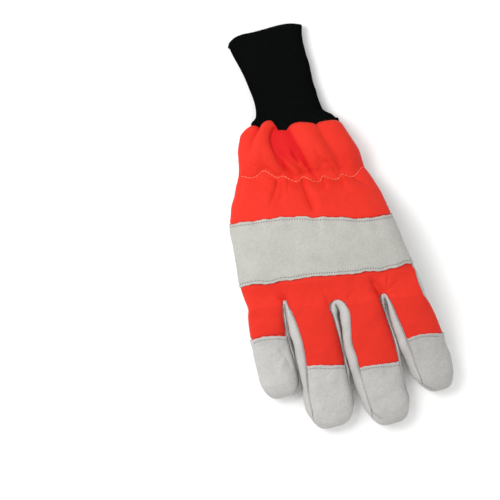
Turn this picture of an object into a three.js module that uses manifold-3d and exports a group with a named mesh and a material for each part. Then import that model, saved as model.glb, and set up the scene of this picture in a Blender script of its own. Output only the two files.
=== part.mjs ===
// A chainsaw glove for the right hand, lying palm down with its thumb folded under the palm.
// +X points to the index finger's side, +Y to the wrist, +Z up from the surface that the glove lies on.
// Every piece is a sheet of cloth, leather or knit with its real wall, around one open hollow for the hand.
import * as THREE from "three";
import { mergeVertices } from "three/addons/utils/BufferGeometryUtils.js";
import Module from "manifold-3d";

const wasm = await Module();
wasm.setup();

// Driving dimensions, in millimetres
const palmWidth = 118;
const palmThickness = 24;
const knuckleLength = 17;
const bandWidth = 41;
const gauntletLength = 68;
const cuffLength = 66;
const cuffWidth = 54;
const cuffThickness = 17;
const fingerThickness = 21.5;
const littleLength = 65.5;
const ringLength = 91;
const middleLength = 94;
const indexLength = 76;
const thumbLength = 64;
const thumbWidth = 33;
const thumbThickness = 17;
const clothWall = 1.2;
const leatherWall = 1.6;
const knitWall = 2.6;
const seamGap = 0.3;
const bandRise = 0.4;
const gatherDepth = 3.4;
const waistDepth = 2.2;
const tuckLength = 5;
const webRadius = 1.3;
const webBulge = 2;
const webArch = 0.35;
const thumbClearance = 0.8;

// The seams across the hand run downhill towards the index finger, by this much per unit of width.
const slant = 0.138;

const handLength = knuckleLength + bandWidth + gauntletLength;
const bandStart = knuckleLength;
const bandEnd = bandStart + bandWidth;
const gatherLine = bandEnd + 0.46 * gauntletLength;
const palmLift = thumbThickness + thumbClearance;
const seamAngleLeft = 190;
const seamAngleRight = -10;
const degree = Math.PI / 180;

// Hand sections from the finger roots (at 0) to the knit cuff's seam (at 1, a share of the hand's length).
// left and right are shares of the palm's width, thick of its thickness, lift of the folded thumb's height.
const handSections = [
  { at: 0, left: -0.513, right: 0.542, thick: 0.9, lift: 0.8 },
  { at: 0.135, left: -0.515, right: 0.515, thick: 0.96, lift: 0.97 },
  { at: 0.238, left: -0.504, right: 0.493, thick: 1, lift: 1 },
  { at: 0.357, left: -0.494, right: 0.475, thick: 1, lift: 1 },
  { at: 0.46, left: -0.487, right: 0.458, thick: 1.06, lift: 0.84 },
  { at: 0.556, left: -0.458, right: 0.441, thick: 1.14, lift: 0.4 },
  { at: 0.635, left: -0.419, right: 0.419, thick: 1.15, lift: 0.1 },
  { at: 0.706, left: -0.386, right: 0.39, thick: 1.1, lift: -0.04 },
  { at: 0.754, left: -0.364, right: 0.381, thick: 1.14, lift: -0.06 },
  { at: 0.825, left: -0.335, right: 0.369, thick: 1.2, lift: -0.06 },
  { at: 0.92, left: -0.297, right: 0.328, thick: 1.14, lift: -0.04 },
  { at: 1, left: -0.254, right: 0.297, thick: 0.98, lift: 0 },
];

// Fingers from the little finger's side. Seam angles are degrees round the section, 0 to the right; the web
// ones are the back seams' at the root. capStart is a share of the finger's length, rootLeft and rootRight
// are shares of the knuckles' length, and each outline is in shares of the palm's width along the finger.
const fingers = [
  {
    name: "little",
    length: littleLength,
    capStart: 0.3,
    lift: 0.76,
    rootLeft: -0.05,
    rootRight: 0,
    backLeft: seamAngleLeft,
    backRight: 39,
    webRight: 44,
    frontLeft: seamAngleLeft,
    frontRight: 316,
    outline: [
      { at: 0, left: -0.513, right: -0.278 },
      { at: 0.3, left: -0.534, right: -0.308 },
      { at: 0.6, left: -0.545, right: -0.308 },
      { at: 1, left: -0.548, right: -0.31 },
    ],
  },
  {
    name: "ring",
    length: ringLength,
    capStart: 0.505,
    lift: 0.8,
    rootLeft: 0,
    rootRight: -0.34,
    backLeft: 126,
    backRight: 28,
    webLeft: 134,
    webRight: 46,
    frontLeft: 224,
    frontRight: 316,
    outline: [
      { at: 0, left: -0.28, right: -0.013 },
      { at: 0.25, left: -0.298, right: -0.016 },
      { at: 0.5, left: -0.299, right: -0.02 },
      { at: 0.75, left: -0.32, right: -0.023 },
      { at: 1, left: -0.325, right: -0.027 },
    ],
  },
  {
    name: "middle",
    length: middleLength,
    capStart: 0.535,
    lift: 0.82,
    rootLeft: -0.34,
    rootRight: -0.22,
    backLeft: 130,
    backRight: 32,
    webLeft: 116,
    webRight: 42,
    frontLeft: 224,
    frontRight: 316,
    outline: [
      { at: 0, left: 0.003, right: 0.276 },
      { at: 0.25, left: -0.005, right: 0.292 },
      { at: 0.5, left: -0.008, right: 0.309 },
      { at: 0.75, left: 0.014, right: 0.302 },
      { at: 1, left: 0.034, right: 0.307 },
    ],
  },
  {
    name: "index",
    length: indexLength,
    capStart: 0.445,
    lift: 0.86,
    rootLeft: -0.22,
    rootRight: -0.22,
    backLeft: 134,
    backRight: seamAngleRight,
    webLeft: 137,
    frontLeft: 224,
    frontRight: 360 + seamAngleRight,
    outline: [
      { at: 0, left: 0.295, right: 0.542 },
      { at: 0.25, left: 0.305, right: 0.572 },
      { at: 0.5, left: 0.322, right: 0.592 },
      { at: 0.75, left: 0.341, right: 0.603 },
      { at: 1, left: 0.385, right: 0.606 },
    ],
  },
];

// Finger heights along each finger: thick is a share of the finger's thickness, lift of its root's height.
const fingerHeights = [
  { at: 0, thick: 1, lift: 1 },
  { at: 0.25, thick: 1, lift: 0.66 },
  { at: 0.5, thick: 0.98, lift: 0.26 },
  { at: 0.75, thick: 0.94, lift: 0 },
  { at: 1, thick: 0.9, lift: -0.03 },
];

// Knit cuff sections past its seam with the hand, at 0, to its mouth, at 1, both shares of the cuff's length.
// middle and half are shares of the cuff's width, thick of its thickness.
const cuffSections = [
  { at: 0.08, middle: 0.05, half: 0.51, thick: 1.1 },
  { at: 0.15, middle: 0.055, half: 0.437, thick: 1 },
  { at: 0.35, middle: 0.062, half: 0.418, thick: 0.94 },
  { at: 0.6, middle: 0.046, half: 0.433, thick: 0.9 },
  { at: 0.82, middle: 0.01, half: 0.468, thick: 0.88 },
  { at: 1, middle: 0, half: 0.5, thick: 0.88 },
];

// Gathered folds of the cloth above the stitched waist: at and width are shares of the way across the back,
// lean is the shift down to the waist, depth a share of the gather's depth.
const gatherFolds = [
  { at: 0.09, lean: -0.01, width: 0.05, depth: 0.8 },
  { at: 0.19, lean: -0.01, width: 0.045, depth: 0.9 },
  { at: 0.33, lean: 0, width: 0.06, depth: 1 },
  { at: 0.46, lean: 0.06, width: 0.03, depth: 0.35 },
  { at: 0.59, lean: 0.06, width: 0.075, depth: 0.85 },
  { at: 0.79, lean: 0.05, width: 0.08, depth: 0.9 },
  { at: 0.93, lean: 0.01, width: 0.04, depth: 0.6 },
];

// Softer folds between the waist and the leather band.
const waistFolds = [
  { at: 0.12, width: 0.05, depth: 0.5 },
  { at: 0.27, width: 0.06, depth: 0.55 },
  { at: 0.43, width: 0.055, depth: 0.4 },
  { at: 0.6, width: 0.07, depth: 0.6 },
  { at: 0.76, width: 0.055, depth: 0.45 },
  { at: 0.9, width: 0.05, depth: 0.5 },
];

const mix = (a, b, share) => a + (b - a) * share;
const clamp = (value, low, high) => Math.min(high, Math.max(low, value));
const ease = (share) => share * share * (3 - 2 * share);

// A smooth curve through one column of a table, past its ends a straight line.
function curve(table, column, at) {
  const last = table.length - 1;
  let i = 0;
  while (i < last - 1 && at > table[i + 1].at) i += 1;
  const slope = (j) => {
    const before = table[Math.max(j - 1, 0)];
    const after = table[Math.min(j + 1, last)];
    return (after[column] - before[column]) / (after.at - before.at);
  };
  const [low, high] = [table[i], table[i + 1]];
  if (at < low.at) return low[column] + slope(i) * (at - low.at);
  if (at > high.at) return high[column] + slope(i + 1) * (at - high.at);
  const span = high.at - low.at;
  const t = (at - low.at) / span;
  const bend = slope(i) * span * t * (1 - t) ** 2 - slope(i + 1) * span * (1 - t) * t ** 2;
  return mix(low[column], high[column], ease(t)) + bend;
}

// A rounded section's point from half its width and half its height. The angle is of its unstretched shape.
function rounded(angle, half, rise, squareness) {
  const [c, s] = [Math.cos(angle * degree), Math.sin(angle * degree)];
  const radius = (Math.abs(c) ** squareness + Math.abs(s) ** squareness) ** (-1 / squareness);
  return { x: half * radius * c, z: rise * radius * s };
}

// The outer skin of the hand at a section and an angle, grown by an offset. It lies flat on the surface.
function handPoint(angle, station, grow = 0) {
  const at = station / handLength;
  const left = curve(handSections, "left", at) * palmWidth;
  const right = curve(handSections, "right", at) * palmWidth;
  const thick = curve(handSections, "thick", at) * palmThickness;
  const bottom = curve(handSections, "lift", at) * palmLift;
  const spot = rounded(angle, (right - left) / 2 + grow, thick / 2 + grow, 2.6);
  const x = (left + right) / 2 + spot.x;
  return new THREE.Vector3(x, station - slant * x, Math.max(bottom + thick / 2 + spot.z, -grow));
}

// The angle a share of the way round the hand's section from one angle to another, by arc length.
function angleAcross(from, to, share, station) {
  const steps = 48;
  const inside = clamp(share, 0, 1);
  const lengths = [0];
  let before = handPoint(from, station);
  for (let i = 1; i <= steps; i += 1) {
    const next = handPoint(mix(from, to, i / steps), station);
    lengths.push(lengths[i - 1] + next.distanceTo(before));
    before = next;
  }
  const wanted = mix(seamGap / 2, lengths[steps] - seamGap / 2, inside);
  let i = 1;
  while (i < steps && lengths[i] < wanted) i += 1;
  const part = (wanted - lengths[i - 1]) / (lengths[i] - lengths[i - 1]);
  return mix(from, to, (i - 1 + part) / steps + (share - inside));
}

// The seam on the index finger's side climbs over the edge at that finger's root, where the leather shows.
function seamRight(station) {
  const away = (station - 0.2 * knuckleLength) / (0.9 * knuckleLength);
  return seamAngleRight + 38 * Math.exp(-away * away);
}

// Rows of vertices that all the pieces of a finger share: its cap starts at one, its round tip at another.
const capRow = 0.5;
const bendRow = 0.72;
const rootRow = 0.035;
const edgeRow = 0.003;
const fingerRows = [1, 0.94, 0.87, 0.8, bendRow, 0.61, capRow, 0.42, 0.34, 0.25, 0.16, 0.08, rootRow];

// Where a share of a finger's skin, from its root to its tip, lies along it, and its turn round the tip.
function fingerReach(finger, share) {
  const width = (curve(finger.outline, "right", 0.8) - curve(finger.outline, "left", 0.8)) * palmWidth;
  const straight = 1 - (0.6 * width) / finger.length;
  if (share <= capRow) return { at: (share / capRow) * finger.capStart, turn: 0 };
  const past = (share - capRow) / (bendRow - capRow);
  if (share <= bendRow) return { at: mix(finger.capStart, straight, past), turn: 0 };
  const turn = ((share - bendRow) / (1 - bendRow)) * 90 * degree;
  return { at: mix(straight, 1, Math.sin(turn)), turn };
}

// The outer skin of a finger at a share of its skin from root to tip and an angle, grown by an offset.
function fingerPoint(finger, share, angle, grow = 0) {
  const { at, turn } = fingerReach(finger, share);
  const left = curve(finger.outline, "left", at) * palmWidth;
  const right = curve(finger.outline, "right", at) * palmWidth;
  const thick = curve(fingerHeights, "thick", at) * fingerThickness;
  const bottom = curve(fingerHeights, "lift", at) * finger.lift * palmLift;
  const root = Math.exp(-Math.max(share, 0) / 0.07);
  const half = ((right - left) / 2 - (webRadius - seamGap) * root + grow) * Math.cos(turn * 0.88) ** 0.85;
  const rise = (thick / 2 + grow) * Math.cos(turn) + 0.01;
  const spot = rounded(angle, half, rise, 2.5 + 2.5 * root);
  const x = (left + right) / 2 + spot.x;
  const across = (spot.x / ((right - left) / 2) + 1) / 2;
  const start = mix(finger.rootLeft, finger.rootRight, across) * knuckleLength - slant * x;
  const end = -finger.length - slant * curve(finger.outline, "left", 0) * palmWidth * 0.7;
  const y = mix(start, end, at) - grow * Math.sin(turn);
  return new THREE.Vector3(x, y, Math.max(bottom + thick / 2 + spot.z, -grow));
}

// A finger's four seams: back and front, left and right. The side strips narrow to nothing at the tip.
function fingerSeam(finger, side, share) {
  const front = side.startsWith("front");
  const left = side.endsWith("Left");
  const outer = left ? finger.backLeft > 180 : finger.backRight < 0;
  const edge = left ? 180 : front ? 360 : 0;
  const close = ease(clamp((share - 0.6) / 0.33, 0, 1));
  if (outer) {
    if (left) return mix(seamAngleLeft, edge, close);
    const climb = seamRight(-share * finger.length) - seamAngleRight;
    return mix(seamAngleRight, 0, close) + 1.4 * climb + (front ? 360 : 0);
  }
  const corner = front ? (left ? 227 : 313) : left ? finger.webLeft : finger.webRight;
  return mix(mix(corner, finger[side], ease(clamp(share / 0.2, 0, 1))), edge, close);
}

// The span between two seams of a finger, with half the gap left free at each.
function seamSpan(finger, from, to, share) {
  const way = Math.sign(to - from);
  const inset = (angle) => {
    const perDegree = fingerPoint(finger, share, angle + 1).distanceTo(fingerPoint(finger, share, angle - 1)) / 2;
    return way * Math.min(seamGap / 2 / perDegree, 5);
  };
  return [from + inset(from), to - inset(to)];
}

// The row where a face of the hand splits into fingers: its finger and web segments with their lengths.
function rootSegments(face) {
  const segments = [];
  fingers.forEach((finger, i) => {
    const ends = [fingerSeam(finger, face + "Left", 0), fingerSeam(finger, face + "Right", 0)];
    const [a, b] = ends.map((angle) => fingerPoint(finger, 0, angle));
    segments.push({ finger: i, length: a.distanceTo(b) * 1.06 });
    if (i < fingers.length - 1) {
      const next = fingers[i + 1];
      const across = fingerPoint(next, 0, fingerSeam(next, face + "Left", 0)).distanceTo(b);
      segments.push({ web: i, length: across });
    }
  });
  const total = segments.reduce((sum, segment) => sum + segment.length, 0);
  let from = 0;
  for (const segment of segments) {
    segment.from = from;
    from += segment.length / total;
    segment.to = from;
  }
  return segments;
}

// A face of the hand, back or front, as one skin: the fingers where station is below 0, minus their shares.
function faceSkin(face) {
  const segments = rootSegments(face);
  const find = (across) => segments.find((segment) => across <= segment.to) ?? segments.at(-1);
  const fingerSpot = (segment, across, share, grow) => {
    const finger = fingers[segment.finger];
    const seams = [fingerSeam(finger, face + "Left", share), fingerSeam(finger, face + "Right", share)];
    const [from, to] = seamSpan(finger, ...seams, share);
    const part = (across - segment.from) / (segment.to - segment.from);
    return fingerPoint(finger, share, mix(from, to, part), grow);
  };
  const rootSpot = (across, share, grow) => {
    const segment = find(across);
    if (segment.web === undefined) return fingerSpot(segment, across, share, grow);
    const [before, after] = [segments[segments.indexOf(segment) - 1], segments[segments.indexOf(segment) + 1]];
    const part = (across - segment.from) / (segment.to - segment.from);
    const [from, to] = [fingerSpot(before, before.to, share, grow), fingerSpot(after, after.from, share, grow)];
    const arch = share > 2 * edgeRow ? 0 : webArch * from.distanceTo(to) * Math.sqrt(4 * part * (1 - part));
    return from.lerp(to, part).add(new THREE.Vector3(0, arch, 0));
  };
  const point = (across, station, grow) => {
    if (station <= 0) return rootSpot(across, -station, grow);
    const right = (face === "front" ? 360 : 0) + seamRight(station);
    const hand = handPoint(angleAcross(seamAngleLeft, right, across, station), station, grow);
    const near = clamp(station / knuckleLength, 0, 1);
    return near < 1 ? rootSpot(across, 0, grow).lerp(hand, near * (2 - near)) : hand;
  };
  return { segments, point };
}

// How far the gathered cloth stands proud of the hand's skin.
function gather(across, station) {
  const edge = ease(clamp(across / 0.07, 0, 1)) * ease(clamp((1 - across) / 0.07, 0, 1));
  const above = clamp((station - gatherLine) / (handLength - gatherLine), 0, 1);
  const below = clamp((gatherLine - station) / (gatherLine - bandEnd), 0, 1);
  const puff = Math.sin(Math.PI * mix(0.06, 0.82, above)) ** 0.6;
  const bump = (fold, centre) => fold.depth * Math.exp(-(((across - centre) / fold.width) ** 2));
  if (station >= gatherLine) {
    const folds = gatherFolds.map((fold) => bump(fold, fold.at + fold.lean * (1 - above)));
    return gatherDepth * edge * puff * Math.min(1.1, Math.max(...folds));
  }
  const folds = waistFolds.map((fold) => bump(fold, fold.at));
  return waistDepth * edge * Math.sin(Math.PI * mix(0.16, 1, below)) * Math.max(...folds);
}

function gauntletPoint(across, station, grow) {
  const angle = angleAcross(seamAngleLeft, seamRight(station), across, station);
  const skin = handPoint(angle, station);
  const outward = handPoint(angle, station, 1).sub(skin);
  return skin.addScaledVector(outward, gather(across, station) + grow);
}

function bandPoint(across, station, grow) {
  const angle = angleAcross(seamAngleLeft, seamRight(station), across, station);
  return handPoint(angle, station, bandRise + grow);
}

// The knit tube's outer skin: tucked inside the hand's edge, then a shoulder, then the tube to the mouth.
function cuffPoint(angle, at, grow) {
  const tucked = handPoint(angle, handLength + Math.min(at, 0) * tuckLength, grow - leatherWall - seamGap);
  if (at <= 0) return tucked;
  const row = Math.max(at, cuffSections[0].at);
  const half = curve(cuffSections, "half", row) * cuffWidth + grow;
  const thick = curve(cuffSections, "thick", row) * cuffThickness;
  const spot = rounded(angle, half, thick / 2 + grow, 2.4);
  const x = curve(cuffSections, "middle", row) * cuffWidth + spot.x;
  const lean = slant * (1 - ease(clamp(row * 1.6, 0, 1)));
  const z = Math.max(thick / 2 + spot.z, -grow);
  const tube = new THREE.Vector3(x, handLength + at * cuffLength - lean * x, z);
  return tucked.lerp(tube, ease(clamp(at / cuffSections[0].at, 0, 1)));
}

// The thumb's tube from inside the palm to its tip: its path runs down to the surface, under the palm.
const thumbRoot = new THREE.Vector2(0.37 * palmWidth, 0.41 * handLength);
const thumbHeading = 195;
const thumbTip = 0.62;
function thumbPoint(angle, share, grow = 0) {
  const turn = clamp((share - thumbTip) / (1 - thumbTip), 0, 1) * 90 * degree;
  const tipLength = 0.56 * thumbWidth;
  const past = share > thumbTip ? (tipLength + grow) * Math.sin(turn) : 0;
  const reach = (Math.min(share, thumbTip) / thumbTip) * (thumbLength - tipLength) + past;
  const heading = new THREE.Vector2(Math.cos(thumbHeading * degree), Math.sin(thumbHeading * degree));
  const fall = ease(clamp(reach / (0.45 * thumbLength), 0, 1));
  const swell = mix(1.14, 1, clamp(reach / (0.5 * thumbLength), 0, 1));
  const rise = thumbThickness / 2;
  const height = mix(palmLift + palmThickness / 2, rise, fall);
  const half = ((thumbWidth / 2) * swell + grow) * Math.cos(turn * 0.88);
  const spot = rounded(angle, half, (rise + grow) * Math.cos(turn) + 0.05, 2.4);
  const x = thumbRoot.x + heading.x * reach + heading.y * spot.x;
  const y = thumbRoot.y + heading.y * reach - heading.x * spot.x;
  return new THREE.Vector3(x, y, Math.max(height + spot.z, -grow));
}

// A closed body from vertices and triangles, turned so that its faces point outwards.
function solid(vertices, triangles) {
  const make = (faces) =>
    new wasm.Manifold(
      new wasm.Mesh({
        numProp: 3,
        vertProperties: new Float32Array(vertices.flatMap((v) => [v.x, v.y, v.z])),
        triVerts: new Uint32Array(faces.flat()),
      }),
    );
  const made = make(triangles);
  return made.volume() > 0 ? made : make(triangles.map(([a, b, c]) => [a, c, b]));
}

// A wall between two offsets of a skin. Rows and columns are its parameters; missing leaves faces out.
function wall({ columns, rows, point, thickness, rise = 0, missing = () => false, around = false }) {
  const wide = columns.length;
  const steps = around ? wide : wide - 1;
  const layer = (grow) => rows.flatMap((row) => columns.map((column) => point(column, row, grow)));
  const vertices = [...layer(rise), ...layer(-thickness)];
  const back = rows.length * wide;
  const there = (r, c) => r >= 0 && r < rows.length - 1 && (around || (c >= 0 && c < steps)) && !missing(r, c);
  const at = (r, c) => r * wide + (c % wide);
  const triangles = [];
  const quad = (a, b, c, d) => triangles.push([a, b, c], [a, c, d]);
  for (let r = 0; r < rows.length - 1; r += 1) {
    for (let c = 0; c < steps; c += 1) {
      if (!there(r, c)) continue;
      const [p, q, s, t] = [at(r, c), at(r, c + 1), at(r + 1, c + 1), at(r + 1, c)];
      quad(p, q, s, t);
      quad(t + back, s + back, q + back, p + back);
      if (!there(r - 1, c)) quad(q, p, p + back, q + back);
      if (!there(r + 1, c)) quad(t, s, s + back, t + back);
      if (!around && !there(r, c - 1)) quad(p, t, t + back, p + back);
      if (!around && !there(r, c + 1)) quad(s, q, q + back, s + back);
    }
  }
  const used = new Map();
  const kept = [];
  const faces = triangles.map((triangle) =>
    triangle.map((i) => {
      if (!used.has(i)) used.set(i, kept.push(vertices[i]) - 1);
      return used.get(i);
    }),
  );
  return solid(kept, faces);
}

// A filled tube through rings of points.
function filled(rings) {
  const wide = rings[0].length;
  const vertices = rings.flat();
  const triangles = [];
  for (let r = 0; r < rings.length - 1; r += 1) {
    for (let c = 0; c < wide; c += 1) {
      const next = (c + 1) % wide;
      const [p, q] = [r * wide + c, r * wide + next];
      triangles.push([p, q, q + wide], [p, q + wide, p + wide]);
    }
  }
  const end = (rings.length - 1) * wide;
  for (let c = 1; c < wide - 1; c += 1) {
    triangles.push([0, c + 1, c], [end, end + c, end + c + 1]);
  }
  return solid(vertices, triangles);
}

const spread = (from, to, steps) => Array.from({ length: steps + 1 }, (_, i) => mix(from, to, i / steps));
const turns = (steps) => Array.from({ length: steps }, (_, i) => (360 * i) / steps);
// A cut body's one piece worth keeping, without the slivers that a cut leaves.
const biggest = (body) => body.decompose().sort((a, b) => b.volume() - a.volume())[0].simplify(0.01);

// Stations that all the pieces of the hand share.
const knuckleRows = spread(0, bandStart, 3);
const bandRows = spread(bandStart, bandEnd, 3);
const gauntletRows = spread(bandEnd, handLength, 9);

// A face's columns: five across each finger and three round each web's arch.
const archParts = spread(0, Math.PI, 3).map((turn) => (1 - Math.cos(turn)) / 2);
function faceColumns(segments) {
  const columns = [0];
  const webs = [];
  for (const { web, from, to } of segments) {
    const parts = web === undefined ? spread(0, 1, 5) : archParts;
    if (web !== undefined) webs.push(...[0, 1, 2].map((step) => columns.length - 1 + step));
    columns.push(...parts.slice(1).map((part) => mix(from, to, part)));
  }
  return { columns, webs };
}

// A face's piece, with its fingers cut free of each other down to their roots.
function facePiece(face, rows, thickness, rise = 0) {
  const { segments, point } = faceSkin(face);
  const { columns, webs } = faceColumns(segments);
  const missing = (r, c) => rows[r] < -1e-6 && webs.includes(c);
  return wall({ columns, rows, point, thickness, rise, missing });
}

function backPanel() {
  const gapShare = (seamGap * capRow) / (littleLength * fingers[0].capStart);
  const below = fingerRows.filter((share) => share < capRow).map((share) => -share);
  return facePiece("back", [gapShare - capRow, ...below, ...knuckleRows.slice(0, -1), bandStart - seamGap], clothWall);
}

function palmPiece() {
  const hand = [...knuckleRows, ...bandRows.slice(1), ...gauntletRows.slice(1)];
  return facePiece("front", [...fingerRows.map((share) => -share), ...hand], leatherWall);
}

function cap(finger) {
  const point = (across, share, grow) => {
    const seams = [fingerSeam(finger, "backLeft", share), fingerSeam(finger, "backRight", share)];
    const [left, right] = seamSpan(finger, ...seams, share);
    const spot = fingerPoint(finger, share, mix(left, right, across), grow);
    return spot.setZ(spot.z + seamGap * ease(clamp((share - bendRow) / (1 - bendRow), 0, 1)));
  };
  const rows = fingerRows.filter((share) => share >= capRow);
  return wall({ columns: spread(0, 1, 6), rows, point, thickness: leatherWall });
}

// The leather strip between two fingers: down one side to the web at their root and out along the other.
// Its way runs from -1, at the left finger's tip, to 1, at the right one's, round the web between -0.1 and 0.1.
function sideStrip(left, right) {
  const share = (way) => mix(rootRow, 0.87, (Math.abs(way) - 0.1) / 0.9);
  const wayOf = (row) => mix(0.1, 1, (row - rootRow) / (0.87 - rootRow));
  const side = (finger, at, down, grow) => {
    const name = finger === left ? "Right" : "Left";
    const turn = finger === left ? 360 : 0;
    const seams = [fingerSeam(finger, "back" + name, at), fingerSeam(finger, "front" + name, at) - turn];
    const [top, foot] = seamSpan(finger, ...seams, at);
    return fingerPoint(finger, at, mix(top, foot, down), grow);
  };
  const point = (down, way, grow) => {
    if (way < -0.1) return side(left, share(way), down, grow);
    if (way > 0.1) return side(right, share(way), down, grow);
    const [from, to] = [side(left, rootRow, down, grow), side(right, rootRow, down, grow)];
    const roots = [side(left, 0, down, 0), side(right, 0, down, 0)];
    const web = (roots[0].y + roots[1].y) / 2 + webArch * roots[0].distanceTo(roots[1]);
    const turn = ((way + 0.1) / 0.2) * Math.PI;
    const spot = from.clone().lerp(to, (1 - Math.cos(turn)) / 2);
    const depth = web - seamGap - (from.y + to.y) / 2 - webBulge * Math.sin(Math.PI * down) - grow;
    return spot.setY(spot.y + depth * Math.sin(turn));
  };
  const arm = fingerRows.filter((row) => row <= 0.87).map(wayOf);
  const bend = [0.067, 0.033];
  const rows = [...arm.map((way) => -way), ...bend.map((way) => -way), ...bend.toReversed(), ...arm.toReversed()];
  const raw = wall({ columns: spread(0, 1, 4), rows, point, thickness: leatherWall });
  return biggest(raw.subtract(knuckleRoom("back", clothWall)).subtract(knuckleRoom("front", leatherWall)));
}

// The room that a face takes at the finger roots, with a gap round it, to trim the side strips' webs.
const rooms = new Map();
function knuckleRoom(face, thickness) {
  if (!rooms.has(face)) {
    const { segments, point } = faceSkin(face);
    const { columns } = faceColumns(segments);
    const rows = [-edgeRow, ...knuckleRows];
    rooms.set(face, wall({ columns, rows, point, thickness: thickness + seamGap, rise: 2 }));
  }
  return rooms.get(face);
}

function thumbVolume(grow) {
  const rows = [0, 0.12, 0.25, 0.38, 0.5, thumbTip, 0.72, 0.82, 0.91, 1];
  return filled(rows.map((share) => turns(20).map((angle) => thumbPoint(angle, share, grow))));
}

// The hand's whole volume over its palm, grown by an offset, with the palm's own facets.
function handVolume(grow) {
  const skins = ["front", "back"].map((face) => faceSkin(face));
  const ring = (station) => {
    const [front, back] = skins.map(({ segments, point }) =>
      faceColumns(segments).columns.map((across) => point(across, station, grow)),
    );
    return [...front, ...back.toReversed()];
  };
  return filled([...knuckleRows.slice(1), ...bandRows.slice(1), ...gauntletRows.slice(1)].map(ring));
}

function cuffPiece() {
  const rows = [-1, -0.4, 0, 0.03, 0.055, ...cuffSections.map((section) => section.at)];
  return wall({ columns: turns(40), rows, point: cuffPoint, thickness: knitWall, around: true });
}

// Materials
const cloth = new THREE.MeshStandardMaterial({ color: "#f0382a", roughness: 0.62, metalness: 0 });
const leather = new THREE.MeshStandardMaterial({ color: "#c9c7c1", roughness: 0.85, metalness: 0 });
const knit = new THREE.MeshStandardMaterial({ color: "#10120f", roughness: 0.95, metalness: 0 });

function mesh(name, body, material) {
  const made = body.getMesh();
  const geometry = new THREE.BufferGeometry();
  geometry.setAttribute("position", new THREE.BufferAttribute(new Float32Array(made.vertProperties), 3));
  geometry.setIndex(new THREE.BufferAttribute(new Uint32Array(made.triVerts), 1));
  const merged = mergeVertices(geometry, 1e-4);
  merged.computeVertexNormals();
  const piece = new THREE.Mesh(merged, material);
  piece.name = name;
  return piece;
}

const glove = new THREE.Group();
const thumbHollow = thumbVolume(-leatherWall);
const thumbShell = thumbVolume(0).subtract(thumbHollow).subtract(handVolume(seamGap));
const across = (steps) => spread(0, 1, steps);
const gauntlet = { columns: across(40), rows: [bandEnd + seamGap, ...gauntletRows.slice(1)], point: gauntletPoint };
const band = { columns: across(26), rows: bandRows, point: bandPoint, thickness: leatherWall };
glove.add(
  mesh("knit_cuff", cuffPiece(), knit),
  mesh("gathered_back", wall({ ...gauntlet, thickness: clothWall }), cloth),
  mesh("knuckle_band", wall(band), leather),
  mesh("back_panel", backPanel(), cloth),
  mesh("palm", biggest(palmPiece().subtract(thumbHollow)), leather),
  mesh("thumb", biggest(thumbShell), leather),
);
for (const finger of fingers) glove.add(mesh("fingertip_" + finger.name, cap(finger), leather));
fingers.slice(1).forEach((finger, i) => {
  const before = fingers[i];
  glove.add(mesh("side_strip_" + before.name + "_" + finger.name, sideStrip(before, finger), leather));
});

// The origin lies on the surface, under the middle of the glove.
glove.updateMatrixWorld(true);
const room = new THREE.Box3().setFromObject(glove, true);
glove.position.set(-(room.min.x + room.max.x) / 2, -(room.min.y + room.max.y) / 2, -room.min.z);

export default glove;
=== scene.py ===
"""One chainsaw glove for the right hand, palm down: gathered cloth, split leather and a ribbed knit cuff.

Every panel is a grid laid on the same skin that the solids were cut from, then creased, rolled and stitched.
"""
import math

import bmesh
import bpy
import numpy as np
from bpy.props import FloatProperty, FloatVectorProperty, PointerProperty
from mathutils import Matrix, Vector, kdtree, noise
from mathutils.bvhtree import BVHTree


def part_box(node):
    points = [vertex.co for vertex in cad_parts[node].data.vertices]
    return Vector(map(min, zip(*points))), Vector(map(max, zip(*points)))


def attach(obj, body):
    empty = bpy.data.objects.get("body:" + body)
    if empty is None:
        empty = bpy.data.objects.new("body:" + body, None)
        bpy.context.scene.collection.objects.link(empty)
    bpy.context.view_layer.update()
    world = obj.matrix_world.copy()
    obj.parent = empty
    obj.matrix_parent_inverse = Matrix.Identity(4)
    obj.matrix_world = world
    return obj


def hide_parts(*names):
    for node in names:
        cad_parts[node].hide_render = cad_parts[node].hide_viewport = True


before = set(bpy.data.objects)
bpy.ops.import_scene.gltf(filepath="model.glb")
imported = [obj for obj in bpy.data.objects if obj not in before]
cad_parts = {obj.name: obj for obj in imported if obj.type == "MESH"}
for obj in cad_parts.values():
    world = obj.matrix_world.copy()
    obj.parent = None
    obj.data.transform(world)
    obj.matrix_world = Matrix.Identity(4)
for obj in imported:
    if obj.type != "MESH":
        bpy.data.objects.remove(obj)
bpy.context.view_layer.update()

bl_info = {
    "name": "Chainsaw glove",
    "version": (1, 0, 0),
    "blender": (4, 5, 0),
    "location": "View3D > Sidebar > Glove",
    "description": "Makes a sewn work glove around its solids, panel by panel",
    "category": "Add Mesh",
}

MM = 0.001

# The glove's own sizes, in millimetres, the same as the solids'.
PALM_WIDTH, PALM_THICKNESS = 118.0, 24.0
KNUCKLES, BAND, GAUNTLET = 17.0, 41.0, 68.0
CUFF_LENGTH, CUFF_WIDTH, CUFF_THICKNESS = 66.0, 54.0, 17.0
FINGER_THICKNESS = 21.5
THUMB_LENGTH, THUMB_WIDTH, THUMB_THICKNESS = 64.0, 33.0, 17.0
CLOTH, LEATHER, KNIT = 1.2, 1.6, 2.6
SEAM_GAP, WEB_RADIUS, WEB_BULGE, TUCK = 0.3, 1.3, 2.0, 5.0
WEB_ARCHES = (2.8, 4.6, 3.6)
HAND = KNUCKLES + BAND + GAUNTLET
PALM_LIFT = THUMB_THICKNESS + 0.8

# How much each line across the hand drops to the index finger's side, as a share of the way across.
SLANT = 0.138

# Where the back and the palm meet, as angles up over the back from the index finger's side.
SEAM_LEFT, SEAM_RIGHT = 190.0, -10.0

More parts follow.
